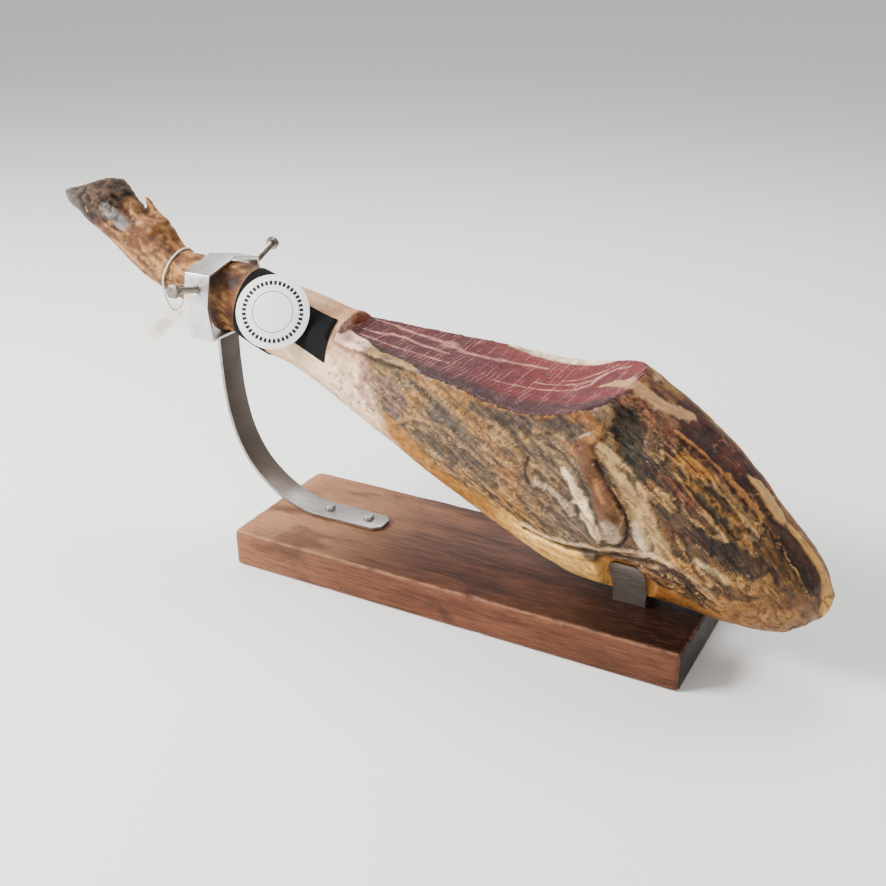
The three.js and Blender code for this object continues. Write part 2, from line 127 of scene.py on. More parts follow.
def shade(red, green, blue):
    """A given colour, 0 to 255, as the renderer's linear colour, deepened a little
    because the strong studio light lifts and pales it"""
    def linear(value):
        value /= 255
        value = value / 12.92 if value <= 0.04045 else ((value + 0.055) / 1.055) ** 2.4
        return 0.88 * value ** 1.28
    return (linear(red), linear(green), linear(blue), 1)


def pick(piece):
    bpy.ops.object.select_all(action="DESELECT")
    piece.select_set(True)
    bpy.context.view_layer.objects.active = piece


def open_mesh(piece):
    """Edit mode with the piece's whole mesh selected"""
    pick(piece)
    bpy.ops.object.mode_set(mode="EDIT")
    bpy.ops.mesh.select_all(action="SELECT")


def solid_copy(node, name):
    """The node's solid as a new object, its loose triangles joined"""
    piece = bpy.data.objects.new(name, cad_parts[node].data.copy())
    piece.data.name = name
    piece.data.materials.clear()
    bpy.context.scene.collection.objects.link(piece)
    open_mesh(piece)
    bpy.ops.mesh.remove_doubles(threshold=1e-5)
    bpy.ops.object.mode_set(mode="OBJECT")
    return piece


def use_modifier(piece, kind, **settings):
    bpy.context.view_layer.objects.active = piece
    modifier = piece.modifiers.new(kind.lower(), kind)
    for key, value in settings.items():
        setattr(modifier, key, value)
    bpy.ops.object.modifier_apply(modifier=modifier.name)


def settle(piece, material, node):
    """Gives a finished piece its material and its body, and hides the node that it stands for"""
    piece.data.materials.clear()
    piece.data.materials.append(material)
    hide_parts(node)
    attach(piece, "root")


def new_finish(name, roughness, metallic=0):
    global canvas
    canvas = bpy.data.materials.new(name)
    canvas.use_nodes = True
    shader = canvas.node_tree.nodes["Principled BSDF"]
    shader.inputs["Roughness"].default_value = roughness
    shader.inputs["Metallic"].default_value = metallic
    if metallic == 0:
        shader.inputs["Specular IOR Level"].default_value = 0.22
    return canvas


def place_on(scale=(1, 1, 1), turn=(0, 0, 0)):
    """Object coordinates, turned and then stretched"""
    spot = add("ShaderNodeTexCoord", {}, "Object")
    return add("ShaderNodeMapping", {"Vector": spot, "Scale": scale, "Rotation": turn})


def cloud(vector, scale, detail=4, roughness=0.6, warp=0):
    return add("ShaderNodeTexNoise", {
        "Vector": vector, "Scale": scale, "Detail": detail, "Roughness": roughness,
        "Distortion": warp,
    })


def blend(factor, under, over, way="MIX"):
    """The colour over another by a factor; 2 is the colour output of a mix node"""
    return add("ShaderNodeMix", {0: factor, 6: under, 7: over}, 2, data_type="RGBA", blend_type=way)


def stored(name, output):
    """What the mesh keeps at its points under a name"""
    return add("ShaderNodeAttribute", {}, output, attribute_name=name)


def wear(colour, roughness, height, depth, strength):
    """Links a finished colour, roughness and height to the material's shader"""
    shader = canvas.node_tree.nodes["Principled BSDF"]
    bump = add("ShaderNodeBump", {"Height": height, "Distance": depth, "Strength": strength})
    for value, socket in ((colour, "Base Color"), (roughness, "Roughness"), (bump, "Normal")):
        if value is not None:
            canvas.node_tree.links.new(value, shader.inputs[socket])


def points_of(piece):
    """The piece's points in millimetres, and their normals"""
    count = len(piece.data.vertices)
    places = np.empty(count * 3, np.float32)
    piece.data.vertices.foreach_get("co", places)
    normals = np.empty(count * 3, np.float32)
    piece.data.vertex_normals.foreach_get("vector", normals)
    return places.reshape(-1, 3).astype(float) * 1000, normals.reshape(-1, 3).astype(float)


def put_points(piece, points):
    piece.data.vertices.foreach_set("co", (points / 1000).astype(np.float32).ravel())
    piece.data.update()


def store(piece, name, kind, values):
    """Keeps values at the piece's points, for its material to read"""
    field = {"FLOAT": "value", "FLOAT_VECTOR": "vector", "FLOAT_COLOR": "color"}[kind]
    layer = piece.data.attributes.new(name, kind, "POINT")
    layer.data.foreach_set(field, values.astype(np.float32).ravel())


def soft(values, low, high):
    """0 at low and 1 at high, smooth between, whichever of the two is the greater"""
    part = np.clip((values - low) / (high - low), 0, 1)
    return part * part * (3 - 2 * part)


def lumps(points, seed):
    """Soft random values from -1 to 1 that change over about one unit"""
    cell = np.floor(points).astype(np.int64)
    part = points - cell
    part = part * part * (3 - 2 * part)
    total = np.zeros(len(points))
    for corner in itertools.product((0, 1), repeat=3):
        x, y, z = (cell + corner).T
        mixed = (x * 73856093) ^ (y * 19349663) ^ (z * 83492791) ^ (seed * 2654435761)
        mixed = ((mixed ^ (mixed >> 13)) * 1274126177) & 0x7FFFFFFF
        value = ((mixed >> 7) & 0xFFFF) / 32768 - 1
        weight = np.prod(np.where(np.array(corner) == 1, part, 1 - part), axis=1)
        total += value * weight
    return total


PLANK_LENGTH, PLANK_WIDTH, PLANK_HEIGHT = 480, 160, 40
BOARD_GRAIN = 2.2                      # millimetres between the board's points
# where a chip is, how far it reaches each way and how deep it is
CHIPS = [((34, -80, 40), (9, 3.5, 3), 2.4), ((40, -80, 0), (7, 4, 4), 3),
         ((-200, -80, 40), (5, 2, 2), 1.2), ((-128, -80, 0), (12, 2.5, 3), 1.3),
         ((150, -80, 40), (14, 2, 2), 1), ((240, -30, 40), (3, 8, 3), 1.4),
         ((205, 80, 40), (12, 3, 3), 1.6), ((-90, 80, 0), (14, 3, 4), 2)]

board = solid_copy("board", "oiled_plank")
use_modifier(board, "REMESH", mode="VOXEL", voxel_size=BOARD_GRAIN / 1000)
use_modifier(board, "SMOOTH", factor=0.5, iterations=3)
points, normals = points_of(board)
x, y, z = points.T
face_gaps = [PLANK_LENGTH / 2 - abs(x), PLANK_WIDTH / 2 - abs(y), np.minimum(z, PLANK_HEIGHT - z)]
# the second nearest pair of faces is as far away as the nearest edge
edge_gap = np.sort(np.stack(face_gaps, 1), axis=1)[:, 1]
dent = 0.35 + 0.5 * lumps(points / (26, 7, 7), 3) + 0.25 * lumps(points / 5, 4)
dent *= soft(edge_gap, 5, 0.5)
for place, reach, depth in CHIPS:
    away = np.linalg.norm((points - place) / reach, axis=1)
    away += 0.35 * lumps(points / 3, 5)
    dent += depth * soft(away, 1.1, 0.45)
dent += 0.12 * lumps(points / (90, 6, 6), 6)
dent = np.maximum(dent, 0) * np.maximum(soft(z, 0.5, 4), 0.25)
put_points(board, points - normals * dent[:, None])
board.data.shade_smooth()
store(board, "rub", "FLOAT", soft(edge_gap, 3.2, 0.5))

wood = new_finish("oiled_walnut", 0.5)
rings = add("ShaderNodeTexWave", {
    "Vector": place_on(scale=(0.35, 3, 6.5), turn=(0.35, 0.02, 0.03)), "Scale": 7,
    "Distortion": 7, "Detail": 4, "Detail Scale": 1.2, "Detail Roughness": 0.6,
}, wave_type="BANDS", bands_direction="Z", output=1)
streaks = cloud(place_on(scale=(1, 16, 16)), 26, 6, 0.65)
pores = cloud(place_on(scale=(1, 24, 24)), 60, 3, 0.7)
blotch = cloud(place_on(scale=(1, 9, 9)), 3.2, 4, 0.55, 0.6)
fine_grain = cloud(place_on(scale=(1, 30, 30)), 34, 5, 0.75)
dark_patch = cloud(place_on(scale=(1, 2.4, 2.4)), 9, 5, 0.6, 0.5)
scratch = cloud(place_on(scale=(1, 12, 1), turn=(0, 0, 0.5)), 55, 2, 0.5)
rubbed = times(stored("rub", "Fac"), spread(cloud(place_on(scale=(1, 3, 3)), 60, 5, 0.65), 0.36, 0.6))
# painted light and shade: the plank is painted paler towards the ring, where the key light falls, and darker
# under the rump, where the ham's shadow falls, less so on its front; its front face is painted a little
# brighter and more orange
length_way = axis_of(place_on(), "X")
facing = add("ShaderNodeNewGeometry", {}, "Normal")
facing_front = spread(axis_of(facing, "Y"), -0.5, -0.9)
off_front = spread(facing_front, 0, 1, 1, 0.45)
end_face = spread(sum_up(axis_of(facing, "X"), 0, "ABSOLUTE"), 0.7, 0.95)
end_grain = cloud(place_on(scale=(1, 1, 3.5), turn=(0.5, 0, 0)), 240, 5, 0.7)
end_colour = blend(spread(end_grain, 0.35, 0.68), shade(66, 54, 47), shade(30, 23, 20))
wood_colour = blend(spread(rings, 0, 1, 0.15, 0.75), shade(104, 68, 52), shade(76, 46, 34))
for amount, tone in (
    (spread(streaks, 0.35, 0.72), (58, 33, 24)),
    (spread(blotch, 0.42, 0.68, 0, 0.75), (140, 98, 74)),
    # painted light towards the ring, painted shadow under the rump and a painted brighter front face
    (times(spread(length_way, -0.26, -0.02, 0.8, 0), off_front), (200, 154, 120)),
    (times(spread(length_way, -0.04, 0.2, 0, 0.9), off_front), (38, 18, 11)),
    (times(facing_front, 0.15), (180, 112, 74)),
    (spread(fine_grain, 0.5, 0.66, 0, 0.7), (54, 31, 22)),
    (spread(fine_grain, 0.46, 0.34, 0, 0.4), (164, 118, 88)),
    (spread(dark_patch, 0.5, 0.66, 0, 0.6), (66, 38, 28)),
    (spread(pores, 0.6, 0.74, 0, 0.65), (48, 28, 20)),
    (times(rubbed, 0.6), (188, 140, 106)),
    (spread(scratch, 0.7, 0.76, 0, 0.5), (52, 30, 22)),
):
    wood_colour = blend(amount, wood_colour, shade(*tone))
wood_colour = blend(end_face, wood_colour, end_colour)
wear(wood_colour, spread(streaks, 0.3, 0.8, 0.38, 0.62),
     sum_up(times(streaks, 0.6), pores, "SUBTRACT"), 0.0006, 0.7)
settle(board, wood, "board")

# Arm: a flat steel bar, bent in one sweep from a foot that lies on the plank up to the ring.
# It is rolled stock, brushed along its length, and its inner face is painted darker as painted shade, more so
# higher up.


def join_flats(piece):
    """Triangles that lie in one plane become one face"""
    open_mesh(piece)
    bpy.ops.mesh.dissolve_limited(angle_limit=math.radians(1))
    bpy.ops.object.mode_set(mode="OBJECT")


def steel_finish(name, tone, roughness, brush_scale, dirt=0.35, shaded_inner_face=False):
    """Brushed steel in a given tone, with smudges and specks of dirt"""
    material = new_finish(name, roughness, 1)
    brushed = cloud(place_on(scale=brush_scale), 90, 5, 0.7)
    smudge = cloud(place_on(), 28, 5, 0.62, 0.4)
    speck = cloud(place_on(), 520, 3, 0.7)
    worn = shade(*(value * 0.62 for value in tone))
    streaked = shade(*(value * 0.86 for value in tone))
    colour = blend(spread(brushed, 0.3, 0.72), shade(*tone), streaked)
    colour = blend(spread(smudge, 0.5, 0.75, 0, dirt), colour, worn)
    colour = blend(spread(speck, 0.66, 0.74, 0, 0.5), colour, worn)
    if shaded_inner_face:
        # painted shade: the bar's inner face, turned away from the key light, is painted darker above the
        # foot and darker still higher up
        inner = spread(axis_of(add("ShaderNodeNewGeometry", {}, "Normal"), "X"), 0.25, 0.5)
        height = axis_of(place_on(), "Z")
        inner = times(inner, spread(height, 0.046, 0.058))
        colour = blend(inner, colour, shade(140, 130, 123))
        upper = times(inner, spread(height, 0.08, 0.17))
        colour = blend(upper, colour, shade(106, 98, 93))
    rough = sum_up(spread(smudge, 0.3, 0.75, roughness - 0.06, roughness + 0.14),
                   spread(brushed, 0.3, 0.7, 0, 0.08))
    wear(colour, rough, sum_up(brushed, speck), 0.00018, 0.6)
    return material


def soften_edges(piece, width, segments, angle):
    """Rounds the edges that are sharper than the angle, over a width in millimetres"""
    use_modifier(piece, "BEVEL", width=width / 1000, segments=segments, limit_method="ANGLE",
                 angle_limit=math.radians(angle), harden_normals=False)
    pick(piece)
    bpy.ops.object.shade_smooth_by_angle(angle=math.radians(angle))


arm = solid_copy("arm", "bent_arm")
join_flats(arm)
soften_edges(arm, 0.35, 2, 30)
arm_steel = steel_finish("arm_steel", (196, 190, 186), 0.34, (1, 14, 1), shaded_inner_face=True)
settle(arm, arm_steel, "arm")

# Foot bolts: two hexagon bolts of bright steel, hardly worn. They go through the arm's foot into
# the plank and hold it down; only their chamfered heads are seen.
bolt_steel = steel_finish("bolt_steel", (206, 203, 199), 0.27, (1, 1, 1), dirt=0.2)
for number in (1, 2):
    node = f"foot_bolt_{number}"
    head = solid_copy(node, f"hex_foot_bolt_{number}")
    join_flats(head)
    soften_edges(head, 0.45, 3, 20)
    settle(head, bolt_steel, node)

# Clamp ring: thick steel sheet bent to seven flats round the shank and welded to the arm's end.
# It has a rough ground finish and softly broken edges.
ring = solid_copy("clamp_ring", "shank_ring")
join_flats(ring)
soften_edges(ring, 0.6, 3, 25)
ring_steel = steel_finish("ground_steel", (246, 243, 240), 0.3, (6, 1, 1))
settle(ring, ring_steel, "clamp_ring")

# Clamp screws: two steel screws with hexagon heads and a rolled thread, darker and dirtier than
# the ring. They are screwed through its sides and grip the shank between their tips.
RING_X, RING_SIDE, SCREW_LEVEL = -291, 44.6, 282
SCREW_RADIUS, THREAD_RADIUS, THREAD_DEPTH, THREAD_PITCH = 3.5, 3.28, 0.3, 1.25
ROWS_PER_TURN = 4
SUNK = 13                              # millimetres of a screw inside the ring
HEAD_FLAT, HEAD_TALL = 13, 5.5
HEAD_CORNER = HEAD_FLAT / math.sqrt(3)
# how much each ring of the head widens and how far it is above the one before
HEAD_STEPS = [(HEAD_CORNER * 0.93 / SCREW_RADIUS, 0), (1.075, 0.5), (1, HEAD_TALL * 0.78), (0.93, 0.8),
              (0.84, 0.45), (0.3, 0), (0.6, -0.55)]

screw_steel = steel_finish("screw_steel", (176, 166, 156), 0.32, (1, 1, 1), dirt=0.6)
for label, side, lean, reach in (("front", -1, 12, 31), ("back", 1, 21, 43)):
    node = f"clamp_screw_{label}"
    shaft = SUNK + reach
    way = Vector((0, side * math.cos(math.radians(lean)), math.sin(math.radians(lean))))
    start = Vector((RING_X, side * RING_SIDE, SCREW_LEVEL)) + way * -SUNK
    bpy.ops.object.select_all(action="DESELECT")
    bpy.ops.mesh.primitive_circle_add(vertices=28, radius=SCREW_RADIUS, fill_type="NOTHING")
    screw = bpy.context.active_object
    screw.name = f"threaded_screw_{label}"
    screw.data.name = screw.name
    open_mesh(screw)
    rows = int(shaft / THREAD_PITCH * ROWS_PER_TURN)
    for grow, rise in [(1, shaft / rows)] * rows + HEAD_STEPS:
        bpy.ops.mesh.extrude_region_move(TRANSFORM_OT_translate={"value": (0, 0, rise)})
        bpy.ops.transform.resize(value=(grow, grow, 1))
    bpy.ops.mesh.merge(type="CENTER")
    bpy.ops.object.mode_set(mode="OBJECT")
    local = points_of(screw)[0] / 1000
    angle = np.arctan2(local[:, 1], local[:, 0])
    radius = np.hypot(local[:, 0], local[:, 1])
    along = local[:, 2]
    thread = THREAD_RADIUS + THREAD_DEPTH * np.cos(2 * math.pi * along / THREAD_PITCH - angle)
    new_radius = np.where((along < shaft - 0.2) & (along > 0.3), thread, radius)
    hexagon = 0.5 * HEAD_FLAT / np.cos((angle + math.pi) % (math.pi / 3) - math.pi / 6)
    rounded = np.minimum(np.minimum(radius / HEAD_CORNER, 1) * 1.06, 1)
    in_head = (along > shaft - 0.2) & (radius > 4.6)
    new_radius = np.where(in_head, np.minimum(hexagon, radius) * rounded, new_radius)
    local[:, :2] *= np.where(radius > 1e-6, new_radius / np.maximum(radius, 1e-6), 1)[:, None]
    turn = way.to_track_quat("Z", "Y").to_matrix()
    put_points(screw, local @ np.array(turn).T + np.array(start))
    open_mesh(screw)
    bpy.ops.mesh.fill_holes(sides=0)
    bpy.ops.mesh.select_all(action="SELECT")
    bpy.ops.mesh.normals_make_consistent(inside=False)
    bpy.ops.object.mode_set(mode="OBJECT")
    bpy.ops.object.shade_smooth_by_angle(angle=math.radians(38))
    settle(screw, screw_steel, node)

# Cradle: a strip of thin dark sheet steel screwed flat on the plank, its two ends bent up and
# out as rounded tabs between which the ham's keel sits. Its rims are worn bright.
cradle = solid_copy("cradle", "keel_cradle")
join_flats(cradle)
soften_edges(cradle, 0.45, 3, 25)
cradle_steel = steel_finish("dark_sheet", (172, 162, 156), 0.46, (1, 1, 5), dirt=0.55)
settle(cradle, cradle_steel, "cradle")

# Ham: a whole cured hind leg with its hoof. The carver has cut a long shallow face into its top;
# the rest is dried rind, mould, yellow fat and, towards the rump, bare dried lean and bone.
HAM_GRAIN = 1.85                       # millimetres between the ham's points
# height of the cut along the ham
CARVED = [(-133, 258), (-73, 250.5), (-23, 246.5), (12, 243.5), (40, 239), (68, 236.5), (93, 238),
          (115, 243), (141, 252), (158, 261), (188, 280)]


def rough_lumps(points, seed, octaves=3):
    """Lumps with smaller and lower ones on them"""
    total = np.zeros(len(points))
    for octave in range(octaves):
        total += lumps(points * 2 ** octave, seed + octave) * 0.55 ** octave
    return total


def line_field(spots, path):
    """Distance of each spot from a bent line, how far along it the nearest point lies, and side"""
    path = np.array(path, float)
    best = np.full(len(spots), 1e9)
    along = np.zeros(len(spots))
    side = np.ones(len(spots))
    run = 0
    for start, end in zip(path[:-1], path[1:]):
        leg = end - start
        length = np.linalg.norm(leg)
        offset = spots - start
        t = np.clip(offset @ leg / length ** 2, 0, 1)
        gap = np.linalg.norm(offset - t[:, None] * leg, axis=1)
        nearer = gap < best
        best = np.where(nearer, gap, best)
        along = np.where(nearer, run + t * length, along)
        turn = leg[0] * offset[:, 1] - leg[1] * offset[:, 0]
        side = np.where(nearer, np.where(turn < 0, -1, 1), side)
        run += length
    return best, along, side


ham = solid_copy("ham", "whole_cured_ham")
use_modifier(ham, "REMESH", mode="VOXEL", voxel_size=HAM_GRAIN / 1000)
points, normals = points_of(ham)
x, y, z = points.T
carve_x, carve_z = np.array(CARVED, float).T
carve_slope = 0.03 + 0.05 * soft(x, -20, 60)
cut_height = np.interp(x, carve_x, carve_z) + y * carve_slope - 3 * np.cos(np.pi * y / 120)
above_cut = z - cut_height
on_cut = (abs(above_cut) < 3) & (x > -134) & (x < 170) & (normals[:, 2] > 0.55)

# The solid's facets are smoothed away, in small steps in and out so that nothing shrinks
edges = np.empty(len(ham.data.edges) * 2, np.int64)
ham.data.edges.foreach_get("vertices", edges)
edge_from, edge_to = np.concatenate([edges.reshape(-1, 2), edges.reshape(-1, 2)[:, ::-1]]).T
neighbours = np.bincount(edge_from, minlength=len(points)).astype(float)


def average_round(values):
    """The mean of each point's neighbours"""
    return np.bincount(edge_from, values[edge_to], len(values)) / neighbours


def relax(amount):
    """Moves each point by an amount of the way to the middle of its neighbours"""
    for axis in range(3):
        values = points[:, axis]
        points[:, axis] = values + amount * (average_round(values) - values)


near_rim = np.exp(-(above_cut / 4) ** 2) * soft(x, -142, -134) * soft(x, 178, 172)
claws = soft(np.linalg.norm((points - (-391, 0, 346)) / (18, 30, 18), axis=1), 1.2, 0.8)
looseness = 1 - np.maximum(0.55 * near_rim, 0.88 * claws)
for _ in range(70):
    relax(0.5 * looseness)
    relax(-0.52 * looseness)

# The shank is fuller behind the dew claws and where the ring grips it. x, y and z move with points
across_shank = z + 0.72 * (x + 364)
hump = np.exp(-((x + 364) / 13) ** 2) * soft(across_shank, 304, 322) * soft(across_shank, 330, 323)
points += hump[:, None] * (6, 0, 11)
belly = np.exp(-((x + 288) / 12) ** 2) * soft(z, 268, 246)
points += belly[:, None] * (0, -4.5, -7) * soft(-y, -14, 8)[:, None]

# Behind the dew claws the heel runs straight
HEEL_WAY = np.array([0.5354, 0.6444, 0.546])
HEEL_REACH = -8.8                      # millimetres from the origin to the heel's plane
beyond = np.maximum(points @ HEEL_WAY - HEEL_REACH, 0) * soft(x, -325, -345) * soft(z, 285, 300)
points -= 0.9 * beyond[:, None] * HEEL_WAY

# The dew claws run out softly
claw_end = np.exp(-((x + 376) ** 2 + (z - 338) ** 2) / 110)
for _ in range(26):
    relax(claw_end * 0.8)

# The tabs of the cradle press the keel in and stay clear of it
beside_tab = soft(x, 144, 150) * (z < 106)
reach = np.minimum(19.2 + 0.25 * np.maximum(z - 54, 0), 26.8)
reach += np.maximum(z - 85.2, 0) / 0.55 + np.maximum(x - 188.5, 0) * 1.5 + (1 - beside_tab) * 80
points[:, 1] = np.clip(y, -reach, reach)
put_points(ham, points)
points, normals = points_of(ham)
x, y, z = points.T
rightward, backward, upward = normals.T
face = points[:, [0, 2]]
near = soft(-backward, 0.05, 0.45)
carved = on_cut.astype(float)
uncut = 1 - carved

# The grain of the muscles runs along the lower edge and turns down towards the rump
GRAIN_PATH = [(-495, 352), (-440, 335), (-380, 292), (-316, 258), (-236, 230), (-138, 202), (-60, 163),
              (20, 116), (90, 72), (130, 34), (165, -18), (200, -72)]
grain_path = np.array(GRAIN_PATH, float)
# its corners are cut until the line is round
for _ in range(3):
    nearer_start = 0.75 * grain_path[:-1] + 0.25 * grain_path[1:]
    nearer_end = 0.25 * grain_path[:-1] + 0.75 * grain_path[1:]
    grain_path = np.concatenate([grain_path[:1], np.stack([nearer_start, nearer_end], 1).reshape(-1, 2),
                                 grain_path[-1:]])
grain_gap, grain_along, grain_side = line_field(face, grain_path)
flow = np.stack([grain_along, grain_gap * grain_side, y], 1)

# upper edge of the golden band of fat along the near face
BAND_TOP = [(-250, 215), (-140, 196), (-87, 206), (-57, 190), (-36, 175), (-11, 155), (28, 141), (59, 127),
            (91, 116), (121, 108), (151, 97), (190, 92), (220, 84), (251, 70), (300, 52), (350, 40)]
band_x, band_z = np.array(BAND_TOP, float).T
wobble = rough_lumps(points / 16, 11)
small_wobble = rough_lumps(points / 6, 12)
streak = rough_lumps(flow / (24, 5.4, 12), 13)
fine_streak = rough_lumps(flow / (10, 2.8, 7), 14, 2)
patch = rough_lumps(points / 34, 15)
golden = soft(np.interp(x, band_x, band_z) - z + 5 * wobble, -3, 5) * soft(x, -150, -70)


def brush(mask, tone):
    """Paints a tone over the skin where the mask is 1"""
    global paint
    tone = np.array(shade(*tone)[:3])
    mask = np.clip(mask, 0, 1)[:, None]
    paint = paint * (1 - mask) + tone * mask


def dapple(zone, rows):
    """Paints tones in turn over a zone, each where its pattern goes from low to high"""
    for pattern, low, high, strength, tone in rows:
        brush(zone * soft(pattern, low, high) * strength, tone)


paint = np.tile(np.array(shade(168, 126, 82)[:3]), (len(points), 1))
lift = 0.5 * wobble + 0.25 * small_wobble

# Rind of the far side and the belly, then the near face with its mould and dried membrane
dapple(1, (
    (patch, 0, 0.7, 0.6, (142, 98, 58)),
    (-patch, 0.1, 0.8, 0.5, (188, 148, 96)),
))
face_zone = near * soft(x, -105, -70) * (1 - golden)
brush(face_zone, (142, 120, 96))
dapple(face_zone, (
    (streak + 0.5 * patch, 0.1, 0.7, 0.8, (176, 146, 104)),
    (-streak + 0.6 * patch, 0.25, 0.8, 0.75, (106, 94, 84)),
    (fine_streak, 0.35, 0.8, 0.5, (86, 70, 54)),
    (-fine_streak + 0.4 * wobble, 0.4, 0.9, 0.55, (182, 150, 108)),
    (small_wobble, 0.35, 0.9, 0.6, (92, 78, 66)),
    (-small_wobble, 0.4, 0.9, 0.5, (196, 166, 120)),
    (patch + 0.5 * small_wobble, 0.35, 0.9, 0.65, (194, 146, 82)),
    (0.4 * wobble - patch, 0.35, 0.8, 0.6, (112, 104, 100)),
))
right_zone = face_zone * soft(x + 0.25 * (z - 150), 165, 205)
brush(right_zone * 0.8, (104, 76, 46))
dapple(right_zone, (
    (streak, 0.15, 0.7, 0.8, (146, 110, 62)),
    (-streak, 0.2, 0.7, 0.85, (72, 52, 38)),
))
# dried folds of membrane that run with the grain, with painted light on their backs and painted shade beside
# them
fold_noise = abs(rough_lumps(flow / (38, 9, 16), 41, 3))
lit_fold_back = soft(fold_noise, 0.16, 0.03)
shaded_fold_side = soft(fold_noise, 0.12, 0.2) * soft(fold_noise, 0.36, 0.24)
folded = face_zone * (0.45 + 0.55 * right_zone)
brush(folded * shaded_fold_side * 0.65, (74, 56, 44))
brush(folded * lit_fold_back * 0.75, (200, 166, 118))
lift += folded * (1.1 * lit_fold_back - 0.4 * shaded_fold_side)
# painted highlights: thin bright glint lines on some of the ridges, a little raised
glint_lines = soft(abs(rough_lumps(flow / (15, 4.5, 9), 51, 2)), 0.09, 0.02)
glint_lines *= face_zone * soft(rough_lumps(points / 20, 55), 0.2, 0.5)
brush(glint_lines * 0.45, (214, 198, 172))
lift += 0.25 * glint_lines
mould = face_zone * (0.35 + 0.4 * soft(patch, -0.2, 0.5))

brush(golden * 0.95, (197, 147, 80))
# painted light: the middle of the golden band faces down and is painted brighter, in place of light thrown up
# from below
brush(golden * soft(x, 30, 80) * soft(x, 160, 140) * 0.85, (255, 212, 136))
dapple(golden, (
    (x, 185, 205, 0.7, (156, 108, 58)),
    (fine_streak, 0.1, 0.7, 0.6, (176, 122, 64)),
    (streak, 0.3, 0.8, 0.4, (222, 184, 124)),
))
lift += face_zone * (0.75 * streak + 0.3 * fine_streak) + golden * 0.35 * fine_streak
lift += (1 - near) * soft(x, -120, 40) * (0.15 * streak + 0.7 * patch)

# Knee and lower leg: pale pinkish rind under the label, browner on top
far_side = soft(backward, -0.2, 0.4)
leg_end = x + 5 * wobble + 0.35 * (z - 225) + far_side * (12 * patch + 10)
leg_zone = soft(x, -262, -232) * soft(leg_end, -76 + 18 * far_side, -100 - 22 * far_side)
leg_top = leg_zone * soft(x, -172, -150) * soft(upward, 0.1, 0.5)
brush(leg_zone, (250, 224, 192))
brush(leg_zone * soft(wobble + patch, 0.1, 0.9) * 0.55, (250, 231, 206))
brush(leg_zone * soft(upward, 0.2, 0.8) * soft(-x, 105, 150) * 0.6, (206, 158, 116))
dapple(leg_zone, (
    (-upward, 0.25, 0.8, 0.6, (206, 164, 112)),
    (-patch + 0.6 * small_wobble, 0.1, 0.8, 0.5, (226, 190, 158)),
    (abs(streak), 0.12, 0.03, 0.4, (206, 158, 140)),
))
brush(leg_top * soft(wobble + 0.6, 0, 0.5) * 0.75, (198, 148, 110))
lift += leg_zone * (0.3 * small_wobble + 0.3 * streak)

# Shank and hoof: brown mottled skin, a horny patch, a dark craggy sole with a grey tip
shank_zone = soft(x + 4 * wobble, -240, -262)
brush(shank_zone, (150, 106, 66))
foreleg = soft(x, -304, -322)
shank_grain = streak * (0.15 + 0.85 * near)
dark_skin = soft(wobble + 0.7 * patch + 0.5 * shank_grain, 0.15, 0.9) * (0.8 - 0.4 * foreleg)
brush(shank_zone * dark_skin, (88, 56, 40))
brush(shank_zone * soft(-wobble + 0.6 * shank_grain + 0.3 * foreleg, 0.1, 0.8) * 0.8, (204, 160, 110))
brush(shank_zone * soft(x, -318, -296) * soft(patch + wobble, -0.5, 0.4) * 0.8, (92, 66, 56))
lift += shank_zone * (0.7 * shank_grain + 0.45 * small_wobble)
hoof_line = (-16 * (x + 402) + 48 * (z - 338)) / 50.6
hoof_zone = soft(hoof_line + 3 * wobble, -2, 3) * (1 - claws)


def stroke(path, width, tone, strength, rise, ragged=0.5, gate=None, spots=None):
    """Paints a tone along a bent line and raises or sinks the skin there. A path of x and z
    lies on the near face; width is the half width in millimetres along the line."""
    global lift
    if spots is None:
        spots = points if len(path[0]) == 3 else face
    gap, along, _ = line_field(spots, path)
    length = max(along.max(), 1)
    half = np.interp(along / length, np.linspace(0, 1, len(width)), width)
    gap = gap / half * (1 + ragged * small_wobble + ragged * 0.6 * streak)
    if gate is None:
        gate = (near if spots is face else 1) * uncut
    mask = soft(gap, 1.05, 0.55) * gate
    brush(mask * strength, tone)
    dome = np.sqrt(np.clip(1 - gap ** 2, 0, 1))
    lift += rise * dome * gate * soft(along, -3, 1.5 * half)
    return mask


# dark crust under the rim of the cut, and grey and golden patches of the near face
stroke([(28, 226), (72, 223), (104, 228), (126, 233)], (7, 12), (104, 90, 82), 0.8, -0.6)
stroke([(-6, 213), (14, 202), (31, 182)], (12, 14), (104, 97, 90), 0.6, 0)
stroke([(-27, 186), (10, 178), (50, 160)], (9, 13), (112, 98, 84), 0.6, -0.8)
stroke([(-45, 242), (-20, 236), (10, 231)], (4, 5), (190, 144, 78), 0.55, 0.4, 0.6)
stroke([(-86, 228), (-65, 226), (-44, 216), (-60, 205)], (9, 9), (158, 128, 118), 0.6, 0, 0.4)
stroke([(-92, 240), (-96, 214), (-84, 200)], (6, 5), (176, 134, 128), 0.75, 0, 0.4)
stroke([(-55, 191), (-33, 203), (3, 200), (33, 181), (75, 163)], (2.2, 3), (172, 140, 98), 0.7, 1.2, 0.4)
stroke([(60, 205), (78, 196), (86, 183), (95, 172)], (3, 4), (150, 120, 86), 0.5, 1.6)
stroke([(87, 193), (85, 181), (88, 168)], (2, 2.2), (96, 66, 46), 0.8, -1.2, 0.3)
stroke([(96, 172), (108, 170), (121, 161), (130, 151)], (3.2, 4), (198, 182, 160), 0.6, 1.4)

